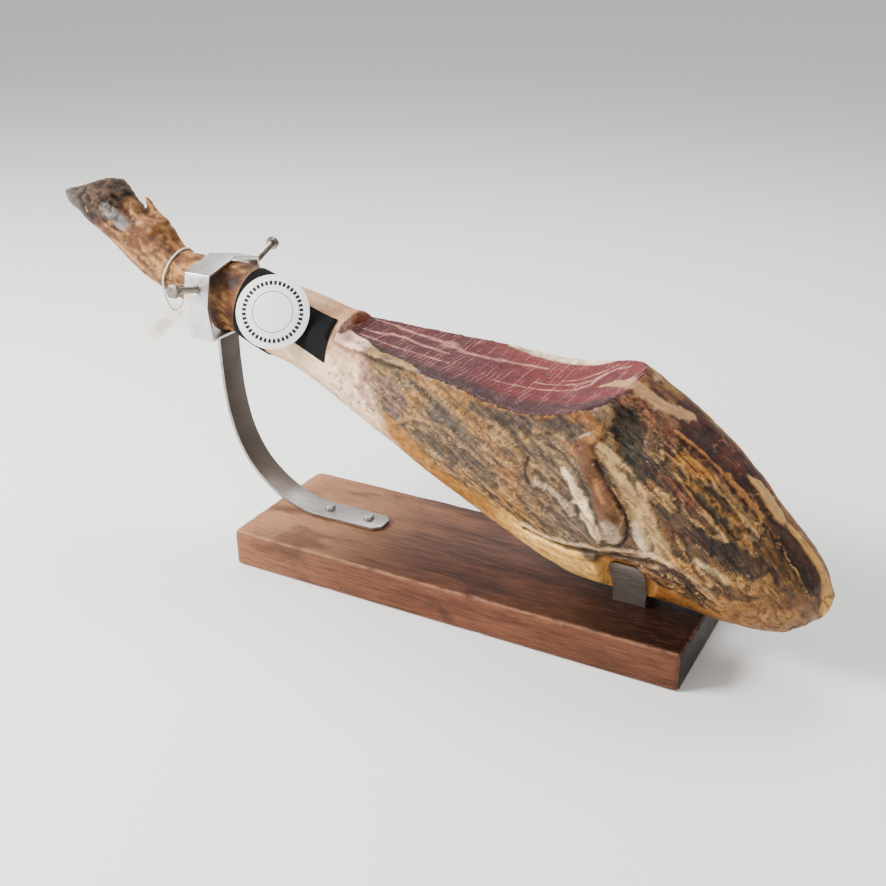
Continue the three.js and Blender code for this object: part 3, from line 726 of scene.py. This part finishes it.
# hollow, golden ridge and bare lean above the bone
stroke([(126, 236), (137, 238), (146, 227), (146, 214)], (6, 8), (172, 122, 66), 0.8, 1.2, 0.4)
stroke([(157, 249), (166, 238), (172, 226), (180, 210), (190, 200)], (7, 15, 12),
       (76, 66, 52), 0.95, -2.2, 0.35)
stroke([(180, 236), (186, 224), (193, 210)], (5, 6), (124, 92, 58), 0.7, 0.8, 0.4)
stroke([(160, 252), (170, 249), (188, 237), (206, 224)], (5, 8, 6), (156, 112, 82), 0.9, 0.9, 0.3)
stroke([(176, 246), (190, 232), (206, 216)], (3, 3), (132, 88, 66), 0.6, -0.5, 0.4)

# cream membrane beside the bone, smooth like the other bare membranes and the bone itself
sleek = stroke([(152, 214), (171, 196), (181, 180), (192, 158), (200, 140), (209, 124)],
               (7, 9, 11, 13, 15, 16), (187, 158, 115), 1, 0.5, 0.18)
stroke([(186, 150), (192, 137), (198, 122)], (4, 7), (206, 190, 168), 0.8, 0, 0.3)
stroke([(176, 196), (188, 176)], (1.6, 1.4), (120, 96, 80), 0.7, 0, 0.8)
stroke([(196, 150), (204, 134)], (1.2, 1.5), (104, 84, 70), 0.7, -0.3, 0.8)

# bone with its rounded speckled end, the pale membrane at its left and the line round it
sleek += 0.6 * stroke([(121, 190), (131, 178), (141, 163), (149, 148), (155, 133)],
                      (3, 6, 7, 5), (240, 216, 180), 0.95, 0.8, 0.4)
stroke([(127, 206), (137, 219), (146, 225)], (5, 5), (176, 134, 84), 0.8, 1.6, 0.3)
sleek += 0.7 * stroke([(134, 214), (143, 200), (151, 185), (160, 169), (167, 153), (168, 138)],
                      (7, 8, 9, 10, 11, 11), (116, 80, 51), 0.95, 4, 0.12)
stroke([(150, 186), (159, 170)], (2.5, 3), (186, 138, 88), 0.6, 0, 0.6)
stroke([(166, 146), (168, 137)], (8, 9), (190, 170, 148), 0.9, 0, 0.4)
stroke([(148, 205), (157, 190), (167, 176), (177, 160), (181, 146), (179, 133), (171, 124)],
       (1.5, 1.8, 1.6), (78, 44, 26), 0.95, -1.6, 0.15)

# right part of the near face: red and dark lean, streaks of dried membrane and yellow fat
stroke([(192, 205), (207, 195), (218, 190)], (9, 8), (84, 60, 44), 0.75, -0.7)
stroke([(206, 198), (218, 190), (233, 177)], (5, 6), (122, 70, 44), 0.7, 0.6)
stroke([(217, 210), (228, 204), (244, 196)], (6, 5), (204, 152, 84), 0.95, 1.1)
stroke([(222, 196), (236, 186), (250, 172)], (4, 5), (170, 130, 76), 0.7, 0.6)
stroke([(237, 183), (250, 169), (269, 153)], (4, 5), (84, 78, 66), 0.8, -1.2, 0.6)
stroke([(243, 196), (256, 181), (270, 166), (284, 152)], (2, 3), (196, 160, 112), 0.7, 1)
stroke([(262, 168), (274, 148), (288, 124), (300, 104)], (4, 6, 5), (176, 136, 82), 0.75, 0.7, 0.6)
stroke([(218, 150), (234, 146), (250, 146)], (8, 7), (112, 70, 50), 0.6, -0.5)
stroke([(240, 150), (258, 140), (284, 126)], (10, 12), (58, 38, 28), 0.85, -0.6)
stroke([(218, 126), (232, 120), (246, 108)], (5, 6), (196, 152, 92), 0.8, 0.8, 0.4)
stroke([(240, 126), (254, 119), (266, 110)], (3.5, 4.5), (208, 184, 144), 0.8, 0.7)
stroke([(268, 112), (286, 104), (306, 96)], (7, 8), (192, 150, 92), 0.7, 0.4)

# creases over the golden fat of the lower edge, and the tan skin under the rump
stroke([(70, 118), (101, 113), (122, 114), (150, 118), (168, 121), (188, 124), (208, 124), (222, 118),
        (240, 108), (257, 90)], (2.2, 2.4, 2), (206, 178, 144), 0.75, 1.8, 0.3)
stroke([(76, 111), (122, 107), (168, 113), (208, 116), (238, 98), (256, 80)], (2.6, 3.4, 2.6),
       (104, 72, 44), 0.85, -1.9, 0.3)
stroke([(90, 104), (130, 98), (180, 103), (214, 101), (240, 84)], (2.2, 3, 2), (150, 104, 56), 0.6, 0.9)
stroke([(196, 108), (222, 98), (246, 80), (262, 66)], (1.6, 2.2, 1.6), (88, 58, 36), 0.8, -1.4, 0.4)
skin_low = near * soft(x, 246, 262) * soft(z + 3 * wobble, 102, 92)
brush(skin_low * 0.95, (160, 118, 72))
dapple(skin_low, (
    # painted shade: the skin under the rump is painted darker towards its right end, where shade falls
    (x, 285, 315, 0.75, (106, 74, 50)),
    (streak, 0, 0.7, 0.6, (146, 104, 60)),
    (-patch + 0.4 * wobble, 0.1, 0.7, 0.6, (184, 142, 92)),
))
stroke([(262, 96), (276, 92), (290, 96)], (3, 4), (112, 74, 46), 0.7, -0.8)

# fat rim round the rump, the cream oval and the bare dark lean between it and the face
edge_line, _, edge_side = line_field(face, [
    (164, 256), (188, 240), (201, 229), (216, 215), (226, 208), (243, 197), (256, 184), (268, 173),
    (288, 156), (304, 148), (318, 134), (331, 118), (340, 98), (342, 78)])
wedge = soft(edge_side * edge_line + 2 * small_wobble, -1.5, 2) * soft(x, 158, 170)
wedge *= soft(x, 300, 286) * uncut
back_rind = soft(y, 14, 30) * uncut * soft(x, -100, 0)
brush(back_rind, (176, 134, 84))
brush(back_rind * soft(patch + 0.5 * streak, 0, 0.7) * 0.7, (146, 100, 58))
far_rind = (1 - near) * uncut * soft(x, -130, -60)
for size, seed, low, tone in ((46, 61, 0.05, (206, 162, 98)), (30, 64, 0.2, (124, 82, 48)),
                              (17, 67, 0.35, (216, 190, 148)), (60, 70, 0.15, (150, 116, 82)),
                              (24, 73, 0.3, (150, 100, 60))):
    brush(far_rind * soft(rough_lumps(points / size, seed), low, low + 0.5) * 0.7, tone)
wedge *= soft(y, 30, 16)
brush(wedge, (92, 48, 36))
dapple(wedge, (
    (rough_lumps(points / (9, 22, 9), 21), 0.1, 0.6, 0.7, (60, 34, 26)),
    (-rough_lumps(points / (14, 9, 14), 22), 0.2, 0.7, 0.6, (128, 72, 54)),
))
seam_net = soft(abs(rough_lumps(points / (20, 12, 20), 23, 2)), 0.08, 0.02)
brush(wedge * seam_net * 0.75, (190, 140, 108))
lift += wedge * (0.5 * streak - 0.5)
stroke([(204, -34, 226), (226, -30, 209), (246, -29, 193), (262, -27, 178), (276, -25, 165), (296, -24, 148)],
       (3.5, 4.5, 4), (190, 138, 82), 0.9, 1.4)
stroke([(170, -29, 249), (186, -33, 237), (204, -40, 225)], (4.5, 5), (128, 78, 58), 0.9, -0.4, 0.3)
sleek += 0.7 * stroke([(265, 0, 184), (274, 2, 175), (283, 0, 165), (292, -4, 155)], (6, 14, 12),
                      (206, 170, 116), 1, 3, 0.24)
stroke([(252, -16, 184), (264, -17, 170), (278, -18, 156)], (1.8, 2.2), (104, 66, 44), 0.8, -1, 0.4)
stroke([(288, -20, 153), (306, -12, 138), (322, -12, 121), (332, -16, 106)], (9, 13, 9),
       (84, 52, 42), 0.9, -0.4, 0.35)
stroke([(299, 0, 148), (314, -1, 134), (330, -4, 116), (341, -8, 99), (344, -12, 80)], (5, 8, 9, 8),
       (222, 180, 112), 0.95, 1, 0.2)

# Carved face: rosy lean, paler and purple near the front rim, cream fat along the back rim
brush(carved, (108, 52, 53))
dapple(carved, (
    (x, -40, 80, 0.7, (142, 56, 57)),
    (patch + 0.6 * wobble, 0, 0.8, 0.5, (104, 50, 54)),
))
front_gap = soft(-y - 14 - 19 * soft(x, -90, 0), 0, 18)
brush(carved * front_gap * 0.9, (80, 45, 48))
brush(carved * soft(y, 10, 40) * soft(x, -30, 30) * soft(x, 120, 60) * 0.5, (158, 78, 74))
# how far back the cream fat begins along the cut
fat_edge = np.interp(x, [0, 12, 35, 61, 104, 126], [58, 47, 43, 42, 44, 52])
cream = carved * soft(y - fat_edge + 1.2 * wobble, -1, 1.4)
brush(cream, (236, 216, 190))
flat = np.stack([x, y], 1)
# seams of fat in the lean as paths of x and y, with their half width and strength
SEAMS = [
    ([(-125, 27), (-98, 27), (-74, 24), (-47, 22), (-37, 21), (-19, 13), (9, 14), (40, 23), (60, 26)],
     3.4, 0.65),
    ([(-124, 1), (-106, 2), (-97, 9), (-82, 10), (-62, 4), (-30, 2)], 2.6, 0.7),
    ([(26, -24), (45, -20), (63, -16), (85, -13), (103, -9), (113, 0), (117, 18), (126, 30), (139, 30)],
     2.2, 0.5),
    ([(84, 8), (99, 14), (112, 26), (124, 40)], 2.2, 0.55),
    ([(96, -2), (112, 10), (120, 26), (134, 38)], 1.8, 0.5),
    ([(60, -4), (84, 0), (100, 4), (118, 14)], 1.8, 0.4),
    ([(-118, -12), (-92, -14), (-60, -16), (-20, -18)], 1.8, 0.35),
]
for path, width, strength in SEAMS:
    stroke(path, (0.4 * width, width, 0.6 * width), (206, 148, 136), strength, 0, gate=carved, spots=flat)
hole = np.linalg.norm(flat - (-40, 20), axis=1)
brush(carved * soft(hole + 2 * wobble, 11, 4) * 0.7, (206, 154, 142))
brush(carved * soft(hole, 3.2, 1.6), (72, 36, 32))
rim_places = np.arange(-132, 0, 6)
rim_y = [y[(carved > 0.5) & (abs(x - place) < 4)].min() for place in rim_places]
overlap = np.interp(x, [-133, -118, -100, -88, -66, -44, -24], [30, 25, 19, 15, 9, 10, 0])
start_skin = carved * soft(np.interp(x, rim_places, rim_y) + overlap - y + 3 * wobble, -1, 2.5)
start_skin *= soft(x, -26, -44)
brush(start_skin, (236, 206, 188))
brush(start_skin * soft(patch + wobble, 0, 0.6) * 0.7, (178, 130, 132))
crust_start = start_skin * soft(x + 5 * wobble, -104, -92)
brush(crust_start, (166, 138, 98))
dapple(crust_start, (
    (wobble + streak, 0, 0.6, 0.8, (110, 92, 78)),
    (-wobble + 0.5 * small_wobble, 0.1, 0.6, 0.7, (208, 152, 78)),
))
step_zone = soft(x, -142, -137) * soft(x, -127, -131) * soft(above_cut, -1, 4)
step_face = step_zone * soft(rightward, 0.1, 0.5)
brush(step_face, (196, 146, 116))
brush(step_face * soft(y, -6, 6) * soft(above_cut, 8, 3), (150, 58, 46))
brush(step_face * soft(-y, 2, 12), (228, 196, 178))
# the cream fat that closes the cut at the rump
sleek += 0.6 * stroke([(128, -6, 244), (140, -6, 249), (150, -12, 254), (161, -20, 257), (174, -20, 248),
                       (188, -16, 240), (201, -6, 231), (206, 2, 226)],
                      (4, 9, 12, 12.5, 11, 7), (206, 166, 126), 1, 0.6, 0.4, gate=np.ones(len(x)))
stroke([(168, -24, 252), (184, -20, 242), (196, -12, 235)], (1.6, 1.8), (196, 150, 120), 0.5, 0)
rim_crust = near * np.exp(-((above_cut + 3) / 3) ** 2) * soft(x, -120, -90) * soft(x, 145, 130)
brush(rim_crust * soft(wobble + 0.5 * small_wobble, -0.5, 0.3) * 0.8 * uncut, (96, 70, 52))

# a thin yellow rim where rind and lean meet
rim_line = near * uncut * np.exp(-((above_cut + 2) / 2) ** 2)
rim_line *= soft(x, -60, -20) * soft(x, 132, 118)
brush(rim_line * (0.6 + 0.5 * wobble), (202, 152, 92))
# on the cut the same values tell how near the front rim is
mould = np.where(carved > 0.5, front_gap, mould)

# Hoof over the shank skin
crag = rough_lumps(points / 9, 31, 4)
crease = 1 - np.abs(rough_lumps(points / 15, 35, 2))
brush(hoof_zone, (84, 64, 50))
dapple(hoof_zone, (
    (crag, 0, 0.5, 0.7, (122, 98, 76)),
    (-crag, 0.05, 0.6, 0.85, (46, 34, 28)),
))
sole = hoof_zone * soft(upward + 0.4, 0.3, 0.7)
horn = soft(x + 0.5 * (z - 345) + 3 * wobble, -450, -462) * soft(z + 3 * wobble, 360, 352)
brush(horn * 0.95, (136, 130, 126))
brush(horn * soft(streak + 0.5 * small_wobble, 0.05, 0.5) * 0.8, (82, 72, 64))
stroke([(-421, -24, 345), (-411, -22, 339), (-400, -20, 331)], (7, 9), (152, 148, 145), 1, 1.6, 0.12)
stroke([(-424, -24, 354), (-410, -24, 350), (-396, -22, 344), (-391, -22, 332)], (1.6, 2),
       (48, 36, 28), 0.9, -1, 0.3)
stroke([(-430, -22, 350), (-426, -24, 336), (-414, -24, 327), (-400, -24, 322)], (1.6, 1.8),
       (60, 44, 33), 0.9, -1, 0.3)
lift += sole * (1.1 * crag + 1.6 * soft(crease, 0.75, 1) - 0.8) * (1 - 0.8 * horn)
lift += shank_zone * claws * -0.5 * crease
brush(claws * soft(crag, -0.3, 0.4) * 0.7, (124, 90, 68))
brush(claws * soft(z, 350, 358), (186, 146, 104))
for path, tone in (
    ([(-395, -15, 335), (-375, -18, 325), (-367, -14, 315), (-354, -14, 306), (-341, -19, 294)],
     (92, 64, 50)),
    ([(-434, -24, 330), (-421, -24, 323), (-403, -24, 317)], (110, 70, 50)),
    ([(-389, -23, 303), (-376, -22, 290), (-366, -22, 281)], (112, 78, 58)),
    ([(-382, -24, 318), (-364, -24, 300), (-350, -24, 288)], (214, 176, 128)),
    ([(-412, -24, 312), (-396, -24, 300), (-384, -24, 291)], (206, 166, 120)),
):
    stroke(path, (3.5, 5, 3), tone, 0.75, 0.5, 0.7)

# Nothing grows under the label, the ring's screws, the loop or the cradle
quiet = soft(abs(x + 202), 60, 70) * soft(abs(x + 291), 10, 18)
quiet *= 1 - soft(x, 140, 150) * soft(x, 200, 190) * soft(z, 94, 86)
lift = np.where(lift > 0, lift * quiet, lift * np.maximum(quiet, 0.35))
lift *= 1 - 0.85 * carved * (1 - cream)
lift += start_skin * (2.2 + 0.8 * wobble + 0.5 * small_wobble)
lift *= soft(z, 42, 48) * 0.8 + 0.2 * (lift < 0)

# The rind is made a little darker and stronger in colour, and the middle of its golden band, which faces
# down, is painted brighter as painted light thrown up from below.
# Then painted light and shade: each ridge is painted paler and what lies beside it darker
skin_only = (uncut * (1 - leg_zone) * (1 - start_skin))[:, None]
middle = paint.mean(axis=1)[:, None]
deeper = np.maximum(middle + 1.03 * (paint - middle), 0)
# painted light from below on the middle of the golden band
deeper *= 0.88 + 0.3 * (golden * soft(x, 30, 80) * soft(x, 165, 145))[:, None]
paint = paint * (1 - skin_only) + deeper * skin_only
low_lift = lift.copy()
for _ in range(8):
    low_lift = average_round(low_lift)
relief_shading = np.clip((lift - low_lift) / 0.35, -1, 1)[:, None]
# painted highlight on the ridges, painted shade in the creases beside them
paint = paint * (1 + np.where(relief_shading < 0, 0.55, 0.35) * relief_shading)
paint = np.clip(paint, 0, 0.95)
put_points(ham, points + normals * lift[:, None])
ham.data.shade_smooth()

# Crisp lines are kept as distances, which the material turns into thin seams
seam = np.min([line_field(flat, path)[0] for path, _, _ in SEAMS], axis=0)
seam = np.where((carved > 0.5) & (start_skin < 0.3), seam, 30)
lean_face = carved * (1 - start_skin) * (1 - cream)
wet = np.clip(0.6 * face_zone * (1 - wedge) + lean_face * 0.25 + golden * 0.4 + wedge * 0.1, 0, 1)
pale = np.maximum(np.maximum(leg_zone, start_skin), cream)
pale = np.maximum(pale, np.clip(1.25 * sleek + 1.2 * skin_low + 0.5 * golden + 0.8 * far_rind
                                + 0.9 * foreleg * (1 - hoof_zone), 0, 1.4))
store(ham, "flow", "FLOAT_VECTOR", flow / 1000)
store(ham, "fields", "FLOAT_VECTOR", np.stack([seam, lean_face, mould], 1))
store(ham, "skins", "FLOAT_VECTOR", np.stack([wet, pale, face_zone], 1))
store(ham, "paint", "FLOAT_COLOR", np.concatenate([paint, np.ones((len(paint), 1))], 1))


def tint(factor, under, red, green, blue):
    """Multiplies the colour below by a tone where the factor is 1"""
    return blend(factor, under, blend(1, under, (red, green, blue, 1), "MULTIPLY"))


meat = new_finish("cured_meat", 0.5)
painted = stored("paint", "Color")
flow_spot = stored("flow", "Vector")
fields = stored("fields", "Vector")
skins = stored("skins", "Vector")
seam_gap, is_carved, is_mouldy = (axis_of(fields, axis) for axis in "XYZ")
is_wet, is_pale, is_face = (axis_of(skins, axis) for axis in "XYZ")
object_spot = place_on()
fibre = cloud(add("ShaderNodeMapping", {"Vector": flow_spot, "Scale": (1, 11, 3)}), 38, 7, 0.68, 0.3)
fine_fibre = cloud(add("ShaderNodeMapping", {"Vector": flow_spot, "Scale": (1, 7, 3)}), 140, 5, 0.7, 0.2)
mottle = cloud(object_spot, 120, 7, 0.66, 0.5)
grit = cloud(object_spot, 620, 4, 0.7)
pebble = cloud(object_spot, 300, 4, 0.66, 0.3)
is_rough = sum_up(1, times(is_pale, 0.55), "SUBTRACT")
is_fibrous = times(sum_up(times(is_face, 0.5), 0.3), is_rough)

skin = tint(times(spread(mottle, 0.42, 0.62), is_rough), painted, 0.6, 0.55, 0.5)
skin = tint(times(spread(pebble, 0.52, 0.64), is_fibrous), skin, 0.58, 0.52, 0.48)
skin = tint(times(spread(pebble, 0.47, 0.37), is_fibrous), skin, 1.5, 1.45, 1.38)
skin = tint(times(spread(fibre, 0.5, 0.66), is_fibrous), skin, 0.44, 0.38, 0.34)
dry_fibre = blend(0.14, blend(1, skin, (1.6, 1.5, 1.36, 1), "MULTIPLY"), shade(236, 212, 172))
skin = blend(times(spread(fine_fibre, 0.54, 0.68), is_fibrous), skin, dry_fibre)
skin = tint(times(spread(grit, 0.42, 0.33), is_fibrous), skin, 0.34, 0.29, 0.25)
speck = add("ShaderNodeTexVoronoi", {"Vector": object_spot, "Scale": 330, "Randomness": 1}, "Distance")
dots = times(times(spread(speck, 0.3, 0.16), spread(mottle, 0.48, 0.62)), is_mouldy)
skin = blend(times(dots, 0.9), skin, shade(46, 38, 30))
skin = tint(times(spread(grit, 0.58, 0.68), is_fibrous), skin, 1.9, 1.8, 1.65)

# Knife scores cross the cut every few millimetres; marbling and seams are fat
scores = add("ShaderNodeTexWave", {
    "Vector": place_on(turn=(0, 0, 0.07)), "Scale": 70, "Distortion": 6, "Detail": 3,
    "Detail Scale": 0.5,
}, wave_type="BANDS", bands_direction="X", output=1)
score_break = cloud(place_on(scale=(3.4, 0.8, 1), turn=(0, 0, 0.07)), 26, 3, 0.6)
score_lines = times(spread(scores, 0.86, 0.99), spread(score_break, 0.45, 0.60))
score_lines = times(score_lines, sum_up(1, times(is_mouldy, 0.85), "SUBTRACT"))
lean_grain = cloud(place_on(scale=(1, 5, 5)), 90, 6, 0.7, 0.6)
lean = tint(spread(lean_grain, 0.38, 0.64), painted, 0.52, 0.44, 0.47)
lean = blend(times(score_lines, 0.55), lean, shade(214, 152, 144))
marble = cloud(place_on(scale=(1, 2.6, 1), turn=(0, 0, 0.25)), 46, 5, 0.62, 1.2)
marble_line = spread(sum_up(sum_up(marble, 0.5, "SUBTRACT"), 0, "ABSOLUTE"), 0.010, 0.001)
lean = blend(times(marble_line, spread(score_break, 0.5, 0.66, 0, 0.7)), lean, shade(220, 170, 160))
seam_wave = sum_up(seam_gap, times(sum_up(mottle, 0.5, "SUBTRACT"), 14))
lean = blend(spread(sum_up(seam_wave, 0, "ABSOLUTE"), 0.9, 0.1, 0, 0.55), lean, shade(224, 186, 172))
colour = blend(spread(is_carved, 0.35, 0.65), skin, lean)

height = sum_up(times(fibre, 1.2), times(mottle, 1.3))
height = sum_up(height, sum_up(times(grit, 0.36), times(pebble, 0.6)))
height = times(height, times(sum_up(1, is_carved, "SUBTRACT"), is_rough))
cut_relief = sum_up(times(score_lines, 0.14), times(lean_grain, 0.35))
height = sum_up(height, times(cut_relief, is_carved))
gloss = sum_up(spread(mottle, 0.35, 0.7, 0.64, 0.44), times(is_wet, -0.06))
gloss = sum_up(gloss, spread(pebble, 0.42, 0.58, 0.14, 0))
beads = times(is_wet, spread(pebble, 0.46, 0.60, 0.06, 0.42))
wear(colour, gloss, height, 0.0022, 0.9)
meat_shader = meat.node_tree.nodes["Principled BSDF"]
for socket, value in (("Subsurface Weight", 0.08), ("Subsurface Scale", 0.004),
                      ("Subsurface Radius", (1, 0.35, 0.2)), ("Coat Roughness", 0.24)):
    meat_shader.inputs[socket].default_value = value
meat.node_tree.links.new(sum_up(beads, 0.04), meat_shader.inputs["Coat Weight"])
settle(ham, meat, "ham")

# Label band and side card: matt black card, cut and left bare. The band is closed round the
# shank and the side card lies flat on the rind beside it.
black = new_finish("black_card", 0.8)
black.node_tree.nodes["Principled BSDF"].inputs["Specular IOR Level"].default_value = 0.1
card_fibre = cloud(place_on(), 900, 3, 0.7)
black_colour = blend(spread(card_fibre, 0.35, 0.7), shade(24, 24, 25), shade(40, 40, 41))
wear(black_colour, spread(card_fibre, 0.3, 0.7, 0.7, 0.85), card_fibre, 0.0001, 0.4)
for node, name in (("label_band", "black_band"), ("label_card", "black_side_card")):
    card = solid_copy(node, name)
    bpy.ops.object.shade_smooth_by_angle(angle=math.radians(40))
    settle(card, black, node)

# Label disc: a punched round of stiff white card, glued on the band. It carries only a ring of
# plain printed dashes round a thin line.
DISC_PLACE = Vector((-0.1975, -0.046, 0.2735))
DISC_TURN = Vector((0.34, -0.84, 0.43)).normalized().to_track_quat("Z", "Y").to_euler()
DASHES = 40
PRINT_EDGE = 0.00012                   # metres over which a printed edge fades
bpy.ops.object.select_all(action="DESELECT")
bpy.ops.mesh.primitive_cylinder_add(vertices=96, radius=0.0362, depth=0.0009)
disc = bpy.context.active_object
disc.name = "round_white_card"
disc.data.name = disc.name
soften_edges(disc, 0.2, 2, 40)
disc.rotation_euler = DISC_TURN
disc.location = DISC_PLACE
bpy.ops.object.transform_apply(location=True, rotation=True, scale=True)
white = new_finish("white_card", 0.6)
from_middle = add("ShaderNodeMapping", {
    "Vector": add("ShaderNodeTexCoord", {}, "Object"), "Location": -DISC_PLACE})
radial = add("ShaderNodeVectorMath", {0: from_middle}, "Value", operation="LENGTH")
level = add("ShaderNodeVectorRotate", {"Vector": from_middle, "Rotation": DISC_TURN},
            rotation_type="EULER_XYZ", invert=True)
around = sum_up(axis_of(level, "Y"), axis_of(level, "X"), "ARCTAN2")
dash_step = sum_up(times(around, DASHES / (2 * math.pi)), 1, "FLOORED_MODULO")
dash = times(spread(dash_step, 0.3, 0.34), spread(dash_step, 0.94, 0.98, 1, 0))
paper = cloud(place_on(), 700, 4, 0.7)
white_colour = blend(spread(paper, 0.35, 0.75), shade(252, 251, 249), shade(242, 240, 237))
for inner, outer, broken in ((0.0262, 0.0302, True), (0.0196, 0.0202, False)):
    ink = times(spread(radial, inner - PRINT_EDGE, inner), spread(radial, outer + PRINT_EDGE, outer))
    if broken:
        ink = times(ink, dash)
    white_colour = blend(ink, white_colour, shade(34, 33, 34))
wear(white_colour, None, paper, 0.00008, 0.4)
settle(disc, white, "label_disc")

# Seal loop: a thin moulded strap of white plastic, closed round the shank above the ring. It
# hangs loose and carries the tag.
plastic = new_finish("white_plastic", 0.35)
plastic_cloud = cloud(place_on(), 260, 3, 0.6)
plastic_colour = blend(plastic_cloud, shade(240, 238, 232), shade(222, 216, 204))
wear(plastic_colour, None, plastic_cloud, 0.0001, 0.3)
loop = solid_copy("seal_loop", "plastic_seal_loop")
use_modifier(loop, "SUBSURF", levels=1, render_levels=1)
loop.data.shade_smooth()
settle(loop, plastic, "seal_loop")

# Hang tag: a slip of cream paper, punched at its upper end and threaded on the loop. Its print is
# four plain grey bars, laid out on the sheet's own length and width.
tag = solid_copy("hang_tag", "paper_tag")
points, normals = points_of(tag)
middle = (points.min(axis=0) + points.max(axis=0)) / 2
sheet_ways = np.linalg.svd(points - points.mean(axis=0), full_matrices=False)[2]
sheet = (points - middle) @ sheet_ways.T
sheet -= (sheet.min(axis=0) + sheet.max(axis=0)) / 2
half_long, half_wide = sheet[:, :2].max(axis=0)
store(tag, "sheet", "FLOAT_VECTOR", sheet)
tag_paper = new_finish("tag_paper", 0.7)
tag_fibre = cloud(place_on(), 500, 4, 0.7)
tag_colour = blend(tag_fibre, shade(236, 231, 218), shade(220, 212, 195))
on_sheet = stored("sheet", "Vector")


def between(axis, start, end):
    """1 between two places along or across the sheet, in millimetres"""
    place = axis_of(on_sheet, axis)
    return times(spread(place, start - 0.1, start + 0.1), spread(place, end + 0.1, end - 0.1))


for low, start, end in ((0.45, -0.5, 0.4), (0.15, -0.5, 0.25), (-0.15, -0.5, 0.35), (-0.45, -0.5, 0.1)):
    bar = times(between("Y", low * half_wide, low * half_wide + 0.8),
                between("X", start * half_long, end * half_long))
    tag_colour = blend(times(bar, 0.8), tag_colour, shade(96, 94, 92))
wear(tag_colour, None, tag_fibre, 0.0001, 0.4)
settle(tag, tag_paper, "hang_tag")
